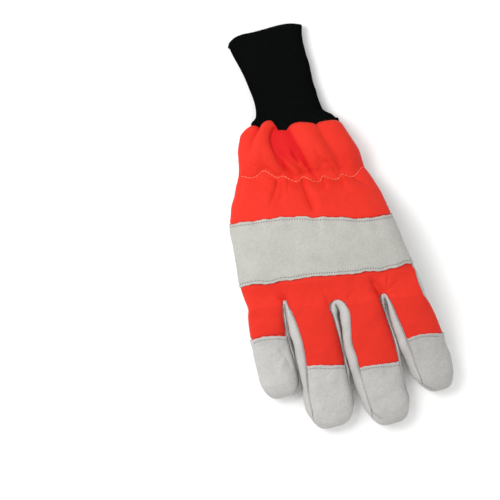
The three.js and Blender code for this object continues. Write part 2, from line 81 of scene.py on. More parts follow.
# Down a finger's rows, where its cap starts, where its tip starts to bend down, and where its strips start and end.
CAP_ROW, BEND_ROW, ROOT_ROW, STRIP_END = 0.5, 0.72, 0.035, 0.955

# How square the hand's section is, and those of the thumb and the cuff. 2 would be an ellipse.
HAND_SQUARE, TUBE_SQUARE = 2.6, 2.4

# How far the sides of a rounded tip have closed where it ends.
TIP_TURN = 0.88

# Down a finger, where its seams start to close round its tip, where the left one of a slot does, and where they meet.
SEAM_CLOSES, SLOT_CLOSES, SEAM_MEETS = 0.62, 0.76, 0.95

# The angles of the left and right corner of a finger's root, under the hand.
ROOT_CORNERS = (227, 313)

# Sections from the finger roots to the knit's seam: share of the length, then left, right, thickness, lift.
HAND_SECTIONS = np.array([
    (0, -0.513, 0.542, 0.9, 0.8),
    (0.135, -0.515, 0.515, 0.96, 0.97),
    (0.238, -0.504, 0.493, 1, 1),
    (0.357, -0.494, 0.475, 1, 1),
    (0.46, -0.487, 0.458, 1.06, 0.84),
    (0.556, -0.458, 0.441, 1.14, 0.4),
    (0.635, -0.419, 0.419, 1.15, 0.1),
    (0.706, -0.386, 0.39, 1.1, -0.04),
    (0.754, -0.364, 0.381, 1.14, -0.06),
    (0.825, -0.335, 0.369, 1.2, -0.06),
    (0.92, -0.297, 0.328, 1.14, -0.04),
    (1, -0.254, 0.297, 0.98, 0),
])

# Each finger's length, the share of it where its cap begins, its lift, its roots, the angles of its seams under
# the hand, and its outline as (share, left, right).
FINGERS = [
    {
        "name": "little", "length": 65.5, "cap": 0.3, "lift": 0.76, "roots": (-0.05, 0.0),
        "front": (SEAM_LEFT, 316),
        "outline": np.array([(0, -0.513, -0.278), (0.3, -0.534, -0.308), (0.6, -0.545, -0.308), (1, -0.548, -0.31)]),
    },
    {
        "name": "ring", "length": 91.0, "cap": 0.505, "lift": 0.8, "roots": (0.0, -0.34),
        "front": (224, 316),
        "outline": np.array([
            (0, -0.28, -0.013), (0.25, -0.298, -0.016), (0.5, -0.299, -0.02), (0.75, -0.32, -0.023),
            (1, -0.325, -0.027),
        ]),
    },
    {
        "name": "middle", "length": 94.0, "cap": 0.535, "lift": 0.82, "roots": (-0.34, -0.22),
        "front": (224, 316),
        "outline": np.array([
            (0, 0.003, 0.276), (0.25, -0.005, 0.292), (0.5, -0.008, 0.309), (0.75, 0.014, 0.302),
            (1, 0.034, 0.307),
        ]),
    },
    {
        "name": "index", "length": 76.0, "cap": 0.445, "lift": 0.86, "roots": (-0.22, -0.22),
        "front": (224, 360 + SEAM_RIGHT),
        "outline": np.array([
            (0, 0.295, 0.542), (0.25, 0.305, 0.572), (0.5, 0.322, 0.592), (0.75, 0.341, 0.603),
            (1, 0.385, 0.606),
        ]),
    },
]

# How far the filled tips of the leather caps reach past the solids.
TIPS = {"little": 0.0, "ring": 1.2, "middle": 3.0, "index": 3.0}

# The seams beside the slots between the fingers, read off the cloth's edges: (share, angle) from root to tip.
SLOT_SEAMS = {
    ("little", 1): np.array([
        (0, 42), (0.05, 42), (0.1, 40), (0.2, 37), (0.3, 34), (0.4, 32), (0.55, 30), (0.7, 28), (1, 26),
    ]),
    ("ring", 0): np.array([
        (0, 150), (0.05, 137), (0.1, 132), (0.2, 127), (0.3, 124), (0.4, 126), (0.5, 130), (0.7, 136), (1, 136),
    ]),
    ("ring", 1): np.array([
        (0, 42), (0.05, 38), (0.1, 32), (0.2, 23), (0.3, 18), (0.4, 16), (0.5, 20), (0.7, 22), (1, 20),
    ]),
    ("middle", 0): np.array([
        (0, 121), (0.05, 117), (0.1, 118), (0.2, 124), (0.3, 129), (0.4, 126), (0.5, 128), (0.7, 134), (1, 138),
    ]),
    ("middle", 1): np.array([
        (0, 24), (0.05, 22), (0.1, 20), (0.2, 19), (0.3, 21), (0.4, 27), (0.5, 30), (0.7, 25), (1, 20),
    ]),
    ("index", 0): np.array([
        (0, 136), (0.05, 133), (0.1, 132), (0.2, 132), (0.3, 130), (0.4, 128), (0.6, 128), (0.8, 132), (1, 134),
    ]),
}

# Down each finger: share of its length, then its thickness and its lift as shares of those at its root.
FINGER_HEIGHTS = np.array([(0, 1, 1), (0.25, 1, 0.66), (0.5, 0.98, 0.26), (0.75, 0.94, 0), (1, 0.9, -0.03)])

# Along the cuff: share of its length, then its middle, half its width and its thickness as shares.
CUFF_SECTIONS = np.array([
    (0.08, 0.05, 0.51, 1.1), (0.15, 0.055, 0.437, 1), (0.35, 0.062, 0.418, 0.94), (0.6, 0.046, 0.433, 0.9),
    (0.82, 0.01, 0.468, 0.88), (1, 0, 0.5, 0.88),
])


# The skin of the glove

def ease(share):
    """A share from 0 to 1 that starts and ends gently."""
    share = np.clip(share, 0, 1)
    return share * share * (3 - 2 * share)


def curve(table, column, at):
    """A smooth curve through a table's column, straight past its ends."""
    at = np.asarray(at, float)
    xs, ys = table[:, 0], table[:, column]
    slopes = np.empty(len(xs))
    slopes[1:-1] = (ys[2:] - ys[:-2]) / (xs[2:] - xs[:-2])
    slopes[0] = (ys[1] - ys[0]) / (xs[1] - xs[0])
    slopes[-1] = (ys[-1] - ys[-2]) / (xs[-1] - xs[-2])
    i = np.clip(np.searchsorted(xs, at) - 1, 0, len(xs) - 2)
    span = xs[i + 1] - xs[i]
    t = np.clip((at - xs[i]) / span, 0, 1)
    flat = ys[i] + (ys[i + 1] - ys[i]) * ease(t)
    bend = slopes[i] * span * t * (1 - t) ** 2 - slopes[i + 1] * span * (1 - t) * t * t
    past = np.minimum(at - xs[0], 0) * slopes[0] + np.maximum(at - xs[-1], 0) * slopes[-1]
    return flat + bend + past


def rounded(angle, half, rise, square):
    """A spot on a section of that half width and half height, by its angle."""
    c, s = np.cos(np.radians(angle)), np.sin(np.radians(angle))
    radius = (np.abs(c) ** square + np.abs(s) ** square) ** (-1 / square)
    return half * radius * c, rise * radius * s


def stacked(x, y, z):
    return np.stack(np.broadcast_arrays(x, y, z), -1)


def hand_section(at):
    """The left and right side, the thickness and the lift of the hand at a share of its length."""
    scales = (PALM_WIDTH, PALM_WIDTH, PALM_THICKNESS, PALM_LIFT)
    return [curve(HAND_SECTIONS, column, at) * scale for column, scale in enumerate(scales, 1)]


def hand_skin(angle, station, grow=0.0):
    """A spot on the hand: the angle round its section, and the station up from the finger roots."""
    left, right, thick, low = hand_section(np.asarray(station, float) / HAND)
    across, up = rounded(angle, (right - left) / 2 + grow, thick / 2 + grow, HAND_SQUARE)
    x = (left + right) / 2 + across
    return stacked(x, station - SLANT * x, np.maximum(low + thick / 2 + up, -grow))


def palm_height(x, y):
    """The height of the hand's underside over a spot of the floor."""
    left, right, thick, low = hand_section((y + SLANT * x) / HAND)
    out = np.clip(np.abs(x - (left + right) / 2) / ((right - left) / 2), 0, 1)
    return low + thick / 2 - thick / 2 * (1 - out ** HAND_SQUARE) ** (1 / HAND_SQUARE)


def seam_right(station):
    """The angle of the seam on the index finger's side, which climbs at the knuckles."""
    away = (np.asarray(station, float) - 0.2 * KNUCKLES) / (0.9 * KNUCKLES)
    return SEAM_RIGHT + 38 * np.exp(-away * away)


STATIONS = np.linspace(-3, HAND + 6, 130)
SHARES = np.linspace(0, 1, 97)


def face_angles(turn):
    """The section angle for each share of the way round a face of the hand, by arc length."""
    rows = []
    for station in STATIONS:
        grid = np.linspace(SEAM_LEFT, turn + float(seam_right(station)), 97)
        points = hand_skin(grid, station)
        arc = np.concatenate([[0], np.cumsum(np.linalg.norm(np.diff(points, axis=0), axis=1))])
        rows.append(np.interp(SEAM_GAP / 2 + (arc[-1] - SEAM_GAP) * SHARES, arc, grid))
    return np.array(rows)


ANGLES = {"back": face_angles(0), "front": face_angles(360)}


def angle_at(face, share, station):
    """The section angle at a share of the way round a face."""
    share, station = np.broadcast_arrays(np.clip(share, 0, 1), station)
    row = np.clip((station - STATIONS[0]) / (STATIONS[1] - STATIONS[0]), 0, len(STATIONS) - 1.001)
    column = np.clip(share * (len(SHARES) - 1), 0, len(SHARES) - 1.001)
    r, c = row.astype(int), column.astype(int)
    fr, fc, table = row - r, column - c, ANGLES[face]
    top = table[r, c] * (1 - fc) + table[r, c + 1] * fc
    return top * (1 - fr) + (table[r + 1, c] * (1 - fc) + table[r + 1, c + 1] * fc) * fr


def back_skin(share, station, grow=0.0):
    """A spot on the back of the hand, by its share across and its station."""
    return hand_skin(angle_at("back", share, station), station, grow)


def finger_reach(finger, share):
    """How far down a finger a row lies, and how far it has turned over the tip."""
    width = (curve(finger["outline"], 2, 0.8) - curve(finger["outline"], 1, 0.8)) * PALM_WIDTH
    straight = 1 - 0.6 * width / finger["length"]
    turn = np.clip((share - BEND_ROW) / (1 - BEND_ROW), 0, 1) * math.pi / 2
    past = np.clip((share - CAP_ROW) / (BEND_ROW - CAP_ROW), 0, 1)
    bent = finger["cap"] + (straight - finger["cap"]) * past
    at = np.where(share <= CAP_ROW, share / CAP_ROW * finger["cap"], bent)
    return np.where(share > BEND_ROW, straight + (1 - straight) * np.sin(turn), at), turn


def finger_skin(finger, share, angle, grow=0.0):
    """A spot on a finger, by its row and the angle round its section."""
    share = np.asarray(share, float)
    at, turn = finger_reach(finger, share)
    left, right = (curve(finger["outline"], column, at) * PALM_WIDTH for column in (1, 2))
    thick = curve(FINGER_HEIGHTS, 1, at) * FINGER_THICKNESS
    low = curve(FINGER_HEIGHTS, 2, at) * finger["lift"] * PALM_LIFT
    root = np.exp(-(np.maximum(share, 0) / 0.1) ** 2)
    half = ((right - left) / 2 - (WEB_RADIUS - SEAM_GAP) * root + grow) * np.cos(turn * TIP_TURN) ** 0.85
    rise = (thick / 2 + grow) * np.cos(turn) + 0.01
    out, up = rounded(angle, half, rise, 2.5 + 2.5 * root)
    x = (left + right) / 2 + out
    across = (out / ((right - left) / 2) + 1) / 2
    first, last = finger["roots"]
    start = (first + (last - first) * across) * KNUCKLES - SLANT * x
    end = -finger["length"] - SLANT * finger["outline"][0, 1] * PALM_WIDTH * 0.7
    filled = TIPS[finger["name"]] * ease((share - CAP_ROW) / (1 - CAP_ROW))
    y = start + (end - start) * at - grow * np.sin(turn) - filled
    return stacked(x, y, np.maximum(low + thick / 2 + up, -grow))


def finger_seam(finger, face, side, share):
    """The angle of one of a finger's four seams. side is 0 on the left and 1 on the right."""
    share = np.asarray(share, float)
    slot = SLOT_SEAMS.get((finger["name"], side))
    start = SLOT_CLOSES if slot is not None and side == 0 and face == "back" else SEAM_CLOSES
    close = ease((share - start) / (SEAM_MEETS - start))
    front = face == "front"
    edge = 180 if side == 0 else 360 if front else 0
    if slot is None and side == 0:
        return SEAM_LEFT + (edge - SEAM_LEFT) * close
    if slot is None:
        climb = seam_right(-share * finger["length"]) - SEAM_RIGHT
        return SEAM_RIGHT * (1 - close) + 1.4 * climb + (360 if front else 0)
    corner = ROOT_CORNERS[side]
    angle = corner + (finger["front"][side] - corner) * ease(share / 0.2) if front else curve(slot, 1, share)
    return angle + (edge - angle) * close


def seam_span(finger, start, end, share):
    """Two seams' angles, moved towards each other by half the gap at each seam."""
    way = np.sign(end - start)

    def inset(angle):
        apart = finger_skin(finger, share, angle + 1) - finger_skin(finger, share, angle - 1)
        return way * np.minimum(SEAM_GAP / np.linalg.norm(apart, axis=-1), 5)

    return start + inset(start), end - inset(end)


def finger_spot(finger, face, part, share):
    """A spot on one face of a finger, part of the way from its left seam to its right one."""
    seams = [finger_seam(finger, face, side, share) for side in (0, 1)]
    start, end = seam_span(finger, *seams, share)
    return finger_skin(finger, share, start + (end - start) * part)


def face_segments(face):
    """The row where a face splits into fingers and webs: (finger or web, is a web, from, to)."""
    found = []
    for i, finger in enumerate(FINGERS):
        ends = [finger_skin(finger, 0.0, float(finger_seam(finger, face, side, 0.0))) for side in (0, 1)]
        found.append((i, False, np.linalg.norm(ends[1] - ends[0]) * 1.06))
        if i < 3:
            follower = FINGERS[i + 1]
            start = finger_skin(follower, 0.0, float(finger_seam(follower, face, 0, 0.0)))
            found.append((i, True, np.linalg.norm(start - ends[1])))
    total, reached, segments = sum(length for _, _, length in found), 0.0, []
    for i, web, length in found:
        segments.append((i, web, reached / total, (reached + length) / total))
        reached += length
    return segments


SEGMENTS = {face: face_segments(face) for face in ("back", "front")}


def face_column(face, k, part, stations):
    """One column of a face's skin, from the fingertips (stations below 0, minus their shares) to the wrist."""
    i, web, start, end = SEGMENTS[face][k]
    share = np.maximum(-stations, 0.0)
    past = np.maximum(stations, 0.0)
    if web:
        low = finger_spot(FINGERS[i], face, 1.0, share)
        high = finger_spot(FINGERS[i + 1], face, 0.0, share)
        points = low + (high - low) * part
        arch = WEB_ARCHES[i] * math.sqrt(max(4 * part * (1 - part), 0)) * np.clip(1 - past / 10, 0, 1) ** 2
        points[:, 1] += np.where(share > 0.006, 0, arch)
    else:
        points = finger_spot(FINGERS[i], face, part, share)
    points[:, 1] += past
    over = stations > 0
    if over.any():
        station = stations[over]
        hand = hand_skin(angle_at(face, start + (end - start) * part, station), station)
        points[over] += (hand - points[over]) * ease(station / KNUCKLES)[:, None]
    return points


def cuff_skin(angle, at):
    """A spot on the cuff: below 0 along it is tucked into the hand, and at 1 is its mouth."""
    tucked = hand_skin(angle, HAND + np.minimum(at, 0) * TUCK, -LEATHER - SEAM_GAP)
    row = np.maximum(at, CUFF_SECTIONS[0, 0])
    half = curve(CUFF_SECTIONS, 2, row) * CUFF_WIDTH
    thick = curve(CUFF_SECTIONS, 3, row) * CUFF_THICKNESS
    out, up = rounded(angle, half, thick / 2, TUBE_SQUARE)
    x = curve(CUFF_SECTIONS, 1, row) * CUFF_WIDTH + out
    lean = SLANT * (1 - ease(row * 1.6))
    tube = stacked(x, HAND + at * CUFF_LENGTH - lean * x, np.maximum(thick / 2 + up, 0))
    share = np.where(at <= 0, 0, ease(at / CUFF_SECTIONS[0, 0]))[..., None]
    return tucked + (tube - tucked) * share


def datum():
    """The way from the glove's own millimetres to the frame: the knit's tucked edge and its mouth fix it."""
    low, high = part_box("knit_cuff")
    tucked = hand_skin(180.0, HAND - TUCK, -LEATHER - SEAM_GAP)
    return np.array([low[0] / MM - float(tucked[0]), high[1] / MM - HAND - CUFF_LENGTH, 0.0])


DATUM = datum()

# The middle of the thumb's root, the way it points, and the share of it where its tip starts to round.
THUMB_ROOT = (0.37 * PALM_WIDTH, 0.41 * HAND)
THUMB_HEADING = math.radians(195)
THUMB_TIP = 0.62


def thumb_skin(angle, share):
    """A spot on the thumb, which falls from the palm to the floor on the way to its tip."""
    turn = np.clip((share - THUMB_TIP) / (1 - THUMB_TIP), 0, 1) * math.pi / 2
    tip = 0.56 * THUMB_WIDTH
    past = np.where(share > THUMB_TIP, tip * np.sin(turn), 0)
    reach = np.minimum(share, THUMB_TIP) / THUMB_TIP * (THUMB_LENGTH - tip) + past
    fall = ease(reach / (0.45 * THUMB_LENGTH))
    swell = 1.14 - 0.14 * np.clip(reach / (0.5 * THUMB_LENGTH), 0, 1)
    rise = THUMB_THICKNESS / 2
    height = (PALM_LIFT + PALM_THICKNESS / 2) * (1 - fall) + rise * fall
    half = THUMB_WIDTH / 2 * swell * np.cos(turn * TIP_TURN)
    out, up = rounded(angle, half, rise * np.cos(turn) + 0.05, TUBE_SQUARE)
    x = THUMB_ROOT[0] + math.cos(THUMB_HEADING) * reach + math.sin(THUMB_HEADING) * out
    y = THUMB_ROOT[1] + math.sin(THUMB_HEADING) * reach - math.cos(THUMB_HEADING) * out
    return stacked(x, y, np.maximum(height + up, 0))


# Making pieces

def sheet(columns, rows, place):
    """A grid laid on a skin. place turns whole column and row numbers into points in millimetres."""
    bm = bmesh.new()
    bmesh.ops.create_grid(bm, x_segments=columns, y_segments=rows, size=1)
    flat = np.array([vert.co for vert in bm.verts])
    column = np.rint((flat[:, 0] + 1) / 2 * columns).astype(int)
    row = np.rint((flat[:, 1] + 1) / 2 * rows).astype(int)
    layers = [bm.verts.layers.float.new(name) for name in ("column", "row")]
    for vert, c, r, point in zip(bm.verts, column, row, place(column, row)):
        vert.co = point
        vert[layers[0]], vert[layers[1]] = c, r
    return bm


def spots(bm):
    """Where each vertex is."""
    return np.array([vert.co for vert in bm.verts], float)


def steps(bm, name):
    """Each vertex's column or row."""
    layer = bm.verts.layers.float[name]
    return np.array([vert[layer] for vert in bm.verts])


def turn_faces(bm, right_way):
    """Turns the sheet over if its faces point the wrong way: right_way is above 0 for a face that points right."""
    bm.normal_update()
    if sum(right_way(face) for face in bm.faces) < 0:
        bmesh.ops.reverse_faces(bm, faces=bm.faces[:])
        bm.normal_update()


def facing(bm, side):
    """Turns the sheet's faces to point up (1) or down (-1) on the whole."""
    turn_faces(bm, lambda face: side * face.normal.z * face.calc_area())


def facing_out(bm, middle):
    """Turns the sheet's faces to point away from a spot inside it."""
    turn_faces(bm, lambda face: (face.calc_center_median() - middle).dot(face.normal) * face.calc_area())


def emboss(bm, depth):
    """Moves each vertex along its normal, in millimetres."""
    bm.normal_update()
    for vert, move in zip(bm.verts, depth):
        vert.co += vert.normal * float(move)


def above_floor(bm, height=0.0):
    """Lifts what lies lower than a height over the floor."""
    for vert in bm.verts:
        vert.co.z = max(vert.co.z, height)


def edge_distance(bm, left_out=(), only=None):
    """How far each vertex is from the sheet's cut edges, apart from those in rows left out, or from one row's."""
    layer = bm.verts.layers.float["row"]
    rim = [vert for vert in bm.verts if vert.is_boundary and vert[layer] not in left_out]
    if only is not None:
        rim = [vert for vert in rim if vert[layer] == only]
    tree = kdtree.KDTree(len(rim))
    for i, vert in enumerate(rim):
        tree.insert(vert.co, i)
    tree.balance()
    return np.array([tree.find(vert.co)[2] for vert in bm.verts])


def rolled(distance, radius):
    """The drop of an edge that is turned in at its seam."""
    near = np.clip(1 - distance / radius, 0, 1)
    return -radius * (1 - np.sqrt(1 - near * near))


def line_distance(points, line):
    """Distance over the plan from points to a line, the share along it, and the side, 1 on its left."""
    line = np.asarray(line, float)
    best = np.full(len(points), 1e9)
    share, side = np.zeros(len(points)), np.ones(len(points))
    lengths = np.linalg.norm(np.diff(line, axis=0), axis=1)
    total, reached = lengths.sum(), 0.0
    for (a, b), length in zip(zip(line[:-1], line[1:]), lengths):
        way = (b - a) / length
        from_a = points[:, :2] - a
        along = np.clip(from_a @ way, 0, length)
        apart = np.linalg.norm(from_a - along[:, None] * way, axis=1)
        nearer = apart < best
        best = np.where(nearer, apart, best)
        share = np.where(nearer, (reached + along) / total, share)
        cross = way[0] * from_a[:, 1] - way[1] * from_a[:, 0]
        side = np.where(nearer, np.sign(cross), side)
        reached += length
    return best, share, side


def smooth_line(points, count):
    """A smooth line of so many points through a few points of the plan."""
    points = np.asarray(points, float)
    at = np.concatenate([[0], np.cumsum(np.linalg.norm(np.diff(points, axis=0), axis=1))])
    table = np.column_stack([at, points])
    along = np.linspace(0, at[-1], count)
    return np.column_stack([curve(table, column, along) for column in range(1, points.shape[1] + 1)])


def crease(points, line, depth, width, lip, spread, fade):
    """A sharp fold along a line, with one side (its left for a positive lip) standing higher."""
    distance, share, side = line_distance(points, smooth_line(line, 24))
    ends = ease(share / max(fade[0], 1e-6)) * ease((1 - share) / max(fade[1], 1e-6))
    valley = -depth * np.exp(-distance / width)
    shoulder = np.where(side * np.sign(lip) > 0, abs(lip), 0)
    shoulder = shoulder * np.exp(-((distance - spread * 0.5) / spread) ** 2)
    return ends * (valley + shoulder * (1 - np.exp(-distance / (0.6 * width))))


def creased(points, creases):
    """The relief of a whole table of creases: line, depth, width, lip, spread, fade at both ends."""
    return sum(crease(points, *row) for row in creases)


def lumps(points, size, depth, seed):
    """Soft unevenness, of a size and depth in millimetres."""
    spots_in_noise = [Vector((p[0] / size, p[1] / size, p[2] / size + seed)) for p in points]
    return np.array([depth * noise.noise(spot) for spot in spots_in_noise])


def new_object(bm, name, material):
    """Makes an object, smooth all over, from a bmesh."""
    for face in bm.faces:
        face.smooth = True
    mesh = bpy.data.meshes.new(name)
    bm.to_mesh(mesh)
    bm.free()
    made = bpy.data.objects.new(name, mesh)
    bpy.context.scene.collection.objects.link(made)
    mesh.materials.append(material)
    return made


# Each panel's outer side, for the stitches that are laid on it.
SURFACES = {}


def finish_panel(bm, name, material, node, thickness, weave, valley=None):
    """Brings a panel into metres in the glove's frame, gives it its wall, and hands it to the frame.

    weave holds each vertex's place on the flat cloth, and valley how much painted shade it gets in a fold's valley,
    from 0 to 1.
    """
    if valley is not None:
        # The valley attribute carries each vertex's share of painted fold shade to the material.
        layer = bm.verts.layers.float.new("valley")
        for vert, value in zip(bm.verts, valley):
            vert[layer] = float(value)
    layer = bm.loops.layers.uv.new("weave")
    bm.verts.index_update()
    for face in bm.faces:
        for loop in face.loops:
            loop[layer].uv = weave[loop.vert.index] * MM
    bmesh.ops.translate(bm, vec=Vector(DATUM), verts=bm.verts)
    bmesh.ops.scale(bm, vec=(MM, MM, MM), verts=bm.verts)
    SURFACES[name] = BVHTree.FromBMesh(bm)
    piece = new_object(bm, name, material)
    wall = piece.modifiers.new("wall", "SOLIDIFY")
    wall.thickness = thickness * MM
    wall.offset = -1
    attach(piece, "root")
    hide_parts(node)


# Materials

def linear(text):
    """An sRGB hex colour as linear red, green and blue."""
    channels = [int(text[i:i + 2], 16) / 255 for i in (1, 3, 5)]
    return tuple(c / 12.92 if c <= 0.04045 else ((c + 0.055) / 1.055) ** 2.4 for c in channels)


def add(tree, kind, inputs=None, stops=(), **settings):
    """Adds a node with its settings. An input is a value or another node's socket, and stops colour a ramp."""
    made = tree.nodes.new(kind)
    for name, value in settings.items():
        setattr(made, name, value)
    for number, (position, colour) in enumerate(stops):
        made.color_ramp.elements[number].position = position
        made.color_ramp.elements[number].color = colour
    for name, value in (inputs or {}).items():
        if isinstance(value, bpy.types.NodeSocket):
            tree.links.new(value, made.inputs[name])
        else:
            made.inputs[name].default_value = value
    return made


def new_material(name):
    """A material by its name, with its node tree if it is new and None if it is made already."""
    material = bpy.data.materials.get(name)
    if material:
        return material, None
    material = bpy.data.materials.new(name)
    material.use_nodes = True
    return material, material.node_tree


def dress(tree, colour, constants, relief=None):
    """Links a colour and a relief (height, strength, depth) to the shader, and sets the shader's constants."""
    shader = tree.nodes["Principled BSDF"]
    tree.links.new(colour, shader.inputs["Base Color"])
    if relief:
        bump = add(tree, "ShaderNodeBump", dict(zip(("Height", "Strength", "Distance"), relief)))
        tree.links.new(bump.outputs["Normal"], shader.inputs["Normal"])
    for name, value in constants.items():
        shader.inputs[name].default_value = value


def shade(colour, factor):
    """A colour made lighter or darker, with its alpha."""
    return tuple(channel * factor for channel in colour[:3]) + (1.0,)


def polyester_cloth(colour):
    """Bright woven polyester: even colour with painted shade in the fold valleys, a fine tabby weave and a slight
    silky sheen.
    """
    material, tree = new_material("woven_polyester")
    if not tree:
        return material
    at = add(tree, "ShaderNodeUVMap", uv_map="weave").outputs["UV"]
    # Threads are 0.3 mm apart in the real cloth. Their slubs are drawn 1 mm wide and 5 mm long so that they show.
    slubs = []
    for scale in ((900.0, 180.0, 1.0), (180.0, 900.0, 1.0)):
        spot = add(tree, "ShaderNodeMapping", {"Vector": at, "Scale": scale}).outputs["Vector"]
        slubs.append(add(tree, "ShaderNodeTexNoise", {"Vector": spot, "Scale": 1.0, "Detail": 2.0}).outputs["Fac"])
    weave = add(tree, "ShaderNodeMath", {0: slubs[0], 1: slubs[1]}, operation="ADD").outputs[0]
    mean = add(tree, "ShaderNodeMath", {0: weave, 1: 0.5}, operation="MULTIPLY").outputs[0]
    stops = (0.35, shade(colour, 0.97)), (0.65, shade(colour, 1.03))
    tint = add(tree, "ShaderNodeValToRGB", {"Fac": mean}, stops).outputs["Color"]
    # Painted shade: in the valley of a fold the colour is painted darker and redder, standing in for the shade there
    # and for the light that has met the cloth more than once.
    valley = add(tree, "ShaderNodeAttribute", attribute_name="valley").outputs["Fac"]
    painted_fold_shade = (colour[0] * 0.88, colour[1] * 0.25, colour[2] * 0.6, 1.0)
    mixed = add(tree, "ShaderNodeMix", {0: valley, 6: tint, 7: painted_fold_shade}, data_type="RGBA").outputs[2]
    dress(tree, mixed, {
        "Roughness": 0.72, "Specular IOR Level": 0.16, "Sheen Weight": 0.015, "Sheen Roughness": 0.4,
    }, (weave, 0.5, 0.0003))
    return material


def split_leather(colour, name="split_leather"):
    """Grey cow split: a short nap with soft darker and lighter patches, quite matt."""
    material, tree = new_material(name)
    if not tree:
        return material
    spot = add(tree, "ShaderNodeTexCoord").outputs["Object"]
    # Patches of 12 mm where the nap was brushed, grain of 1.5 mm, and fibres drawn at 0.6 mm, real ones finer.
    patches, grain, fibre = (
        add(tree, "ShaderNodeTexNoise", {
            "Vector": spot, "Scale": scale, "Detail": detail, "Roughness": rough,
        }).outputs["Fac"]
        for scale, detail, rough in ((85.0, 4.0, 0.6), (650.0, 3.0, 0.7), (1700.0, 2.0, 0.5))
    )
    brushed = {"Value": patches, "From Min": 0.3, "From Max": 0.7, "To Min": -0.26, "To Max": -0.06}
    tone = add(tree, "ShaderNodeMapRange", brushed).outputs[0]
    nap = add(tree, "ShaderNodeMath", {0: grain, 1: fibre}, operation="ADD").outputs[0]
    total = add(tree, "ShaderNodeMath", {0: nap, 1: 0.65, 2: tone}, operation="MULTIPLY_ADD").outputs[0]
    stops = (0.1, shade(colour, 0.77)), (0.9, shade(colour, 1.2))
    tint = add(tree, "ShaderNodeValToRGB", {"Fac": total}, stops).outputs["Color"]
    # The fibres and the grain stand up as a nap half a millimetre high.
    height = add(tree, "ShaderNodeMath", {0: fibre, 1: 0.7, 2: grain}, operation="MULTIPLY_ADD").outputs[0]
    dress(tree, tint, {
        "Roughness": 0.9, "Specular IOR Level": 0.2, "Sheen Weight": 0.08, "Sheen Roughness": 0.6,
    }, (height, 0.7, 0.0005))
    return material


def rib_knit(colour):
    """Near-black acrylic rib: loops in columns, matt, with a little fuzz that breaks up its colour."""
    material, tree = new_material("rib_knit")
    if not tree:
        return material
    at = add(tree, "ShaderNodeUVMap", uv_map="weave").outputs["UV"]
    # The loops are 1.3 mm high in real knit. They are drawn as soft bands 8 mm high, so that they show.
    wave = {"Vector": at, "Scale": 38.0, "Distortion": 2.0, "Detail": 1.0, "Detail Scale": 20.0}
    loops = add(tree, "ShaderNodeTexWave", wave, wave_type="BANDS", bands_direction="Y").outputs["Fac"]
    spot = add(tree, "ShaderNodeTexCoord").outputs["Object"]
    # Tufts of fuzz 1 mm wide, real ones finer.
    fuzz = add(tree, "ShaderNodeTexNoise", {"Vector": spot, "Scale": 900.0, "Detail": 4.0}).outputs["Fac"]
    stops = (0.3, shade(colour, 0.7)), (0.75, shade(colour, 1.6))
    tint = add(tree, "ShaderNodeValToRGB", {"Fac": fuzz}, stops).outputs["Color"]
    height = add(tree, "ShaderNodeMath", {0: fuzz, 1: 0.6, 2: loops}, operation="MULTIPLY_ADD").outputs[0]
    dress(tree, tint, {"Roughness": 0.95, "Specular IOR Level": 0.08}, (height, 0.6, 0.0004))
    return material


def sewing_thread(name, colour):
    """Twisted polyester thread, slightly glossy, a little darker and lighter from stitch to stitch."""
    material, tree = new_material(name)
    if not tree:
        return material
    spot = add(tree, "ShaderNodeTexCoord").outputs["Object"]
    # The twist is 0.3 mm long in real thread. It is drawn as bands 8 mm long, so that it shows.
    wave = {"Vector": spot, "Scale": 75.0, "Distortion": 1.0}
    twist = add(tree, "ShaderNodeTexWave", wave, wave_type="BANDS", bands_direction="DIAGONAL").outputs["Fac"]
    stops = (0.0, shade(colour, 0.8)), (1.0, shade(colour, 1.05))
    tint = add(tree, "ShaderNodeValToRGB", {"Fac": twist}, stops).outputs["Color"]
    dress(tree, tint, {"Roughness": 0.75, "Specular IOR Level": 0.2})
    return material


def floor_paper():
    """Matt white paper roll under and behind the glove."""
    material, tree = new_material("white_paper")
    if not tree:
        return material
    spot = add(tree, "ShaderNodeTexCoord").outputs["Object"]
    # Flecks of pulp 2.5 mm wide, very faint.
    pulp = add(tree, "ShaderNodeTexNoise", {"Vector": spot, "Scale": 400.0, "Detail": 2.0}).outputs["Fac"]
    stops = (0.0, shade(linear("#f7f7f6"), 1)), (1.0, shade(linear("#fbfbfb"), 1))
    tint = add(tree, "ShaderNodeValToRGB", {"Fac": pulp}, stops).outputs["Color"]
    dress(tree, tint, {"Roughness": 0.9})
    return material


# Sizes and colours

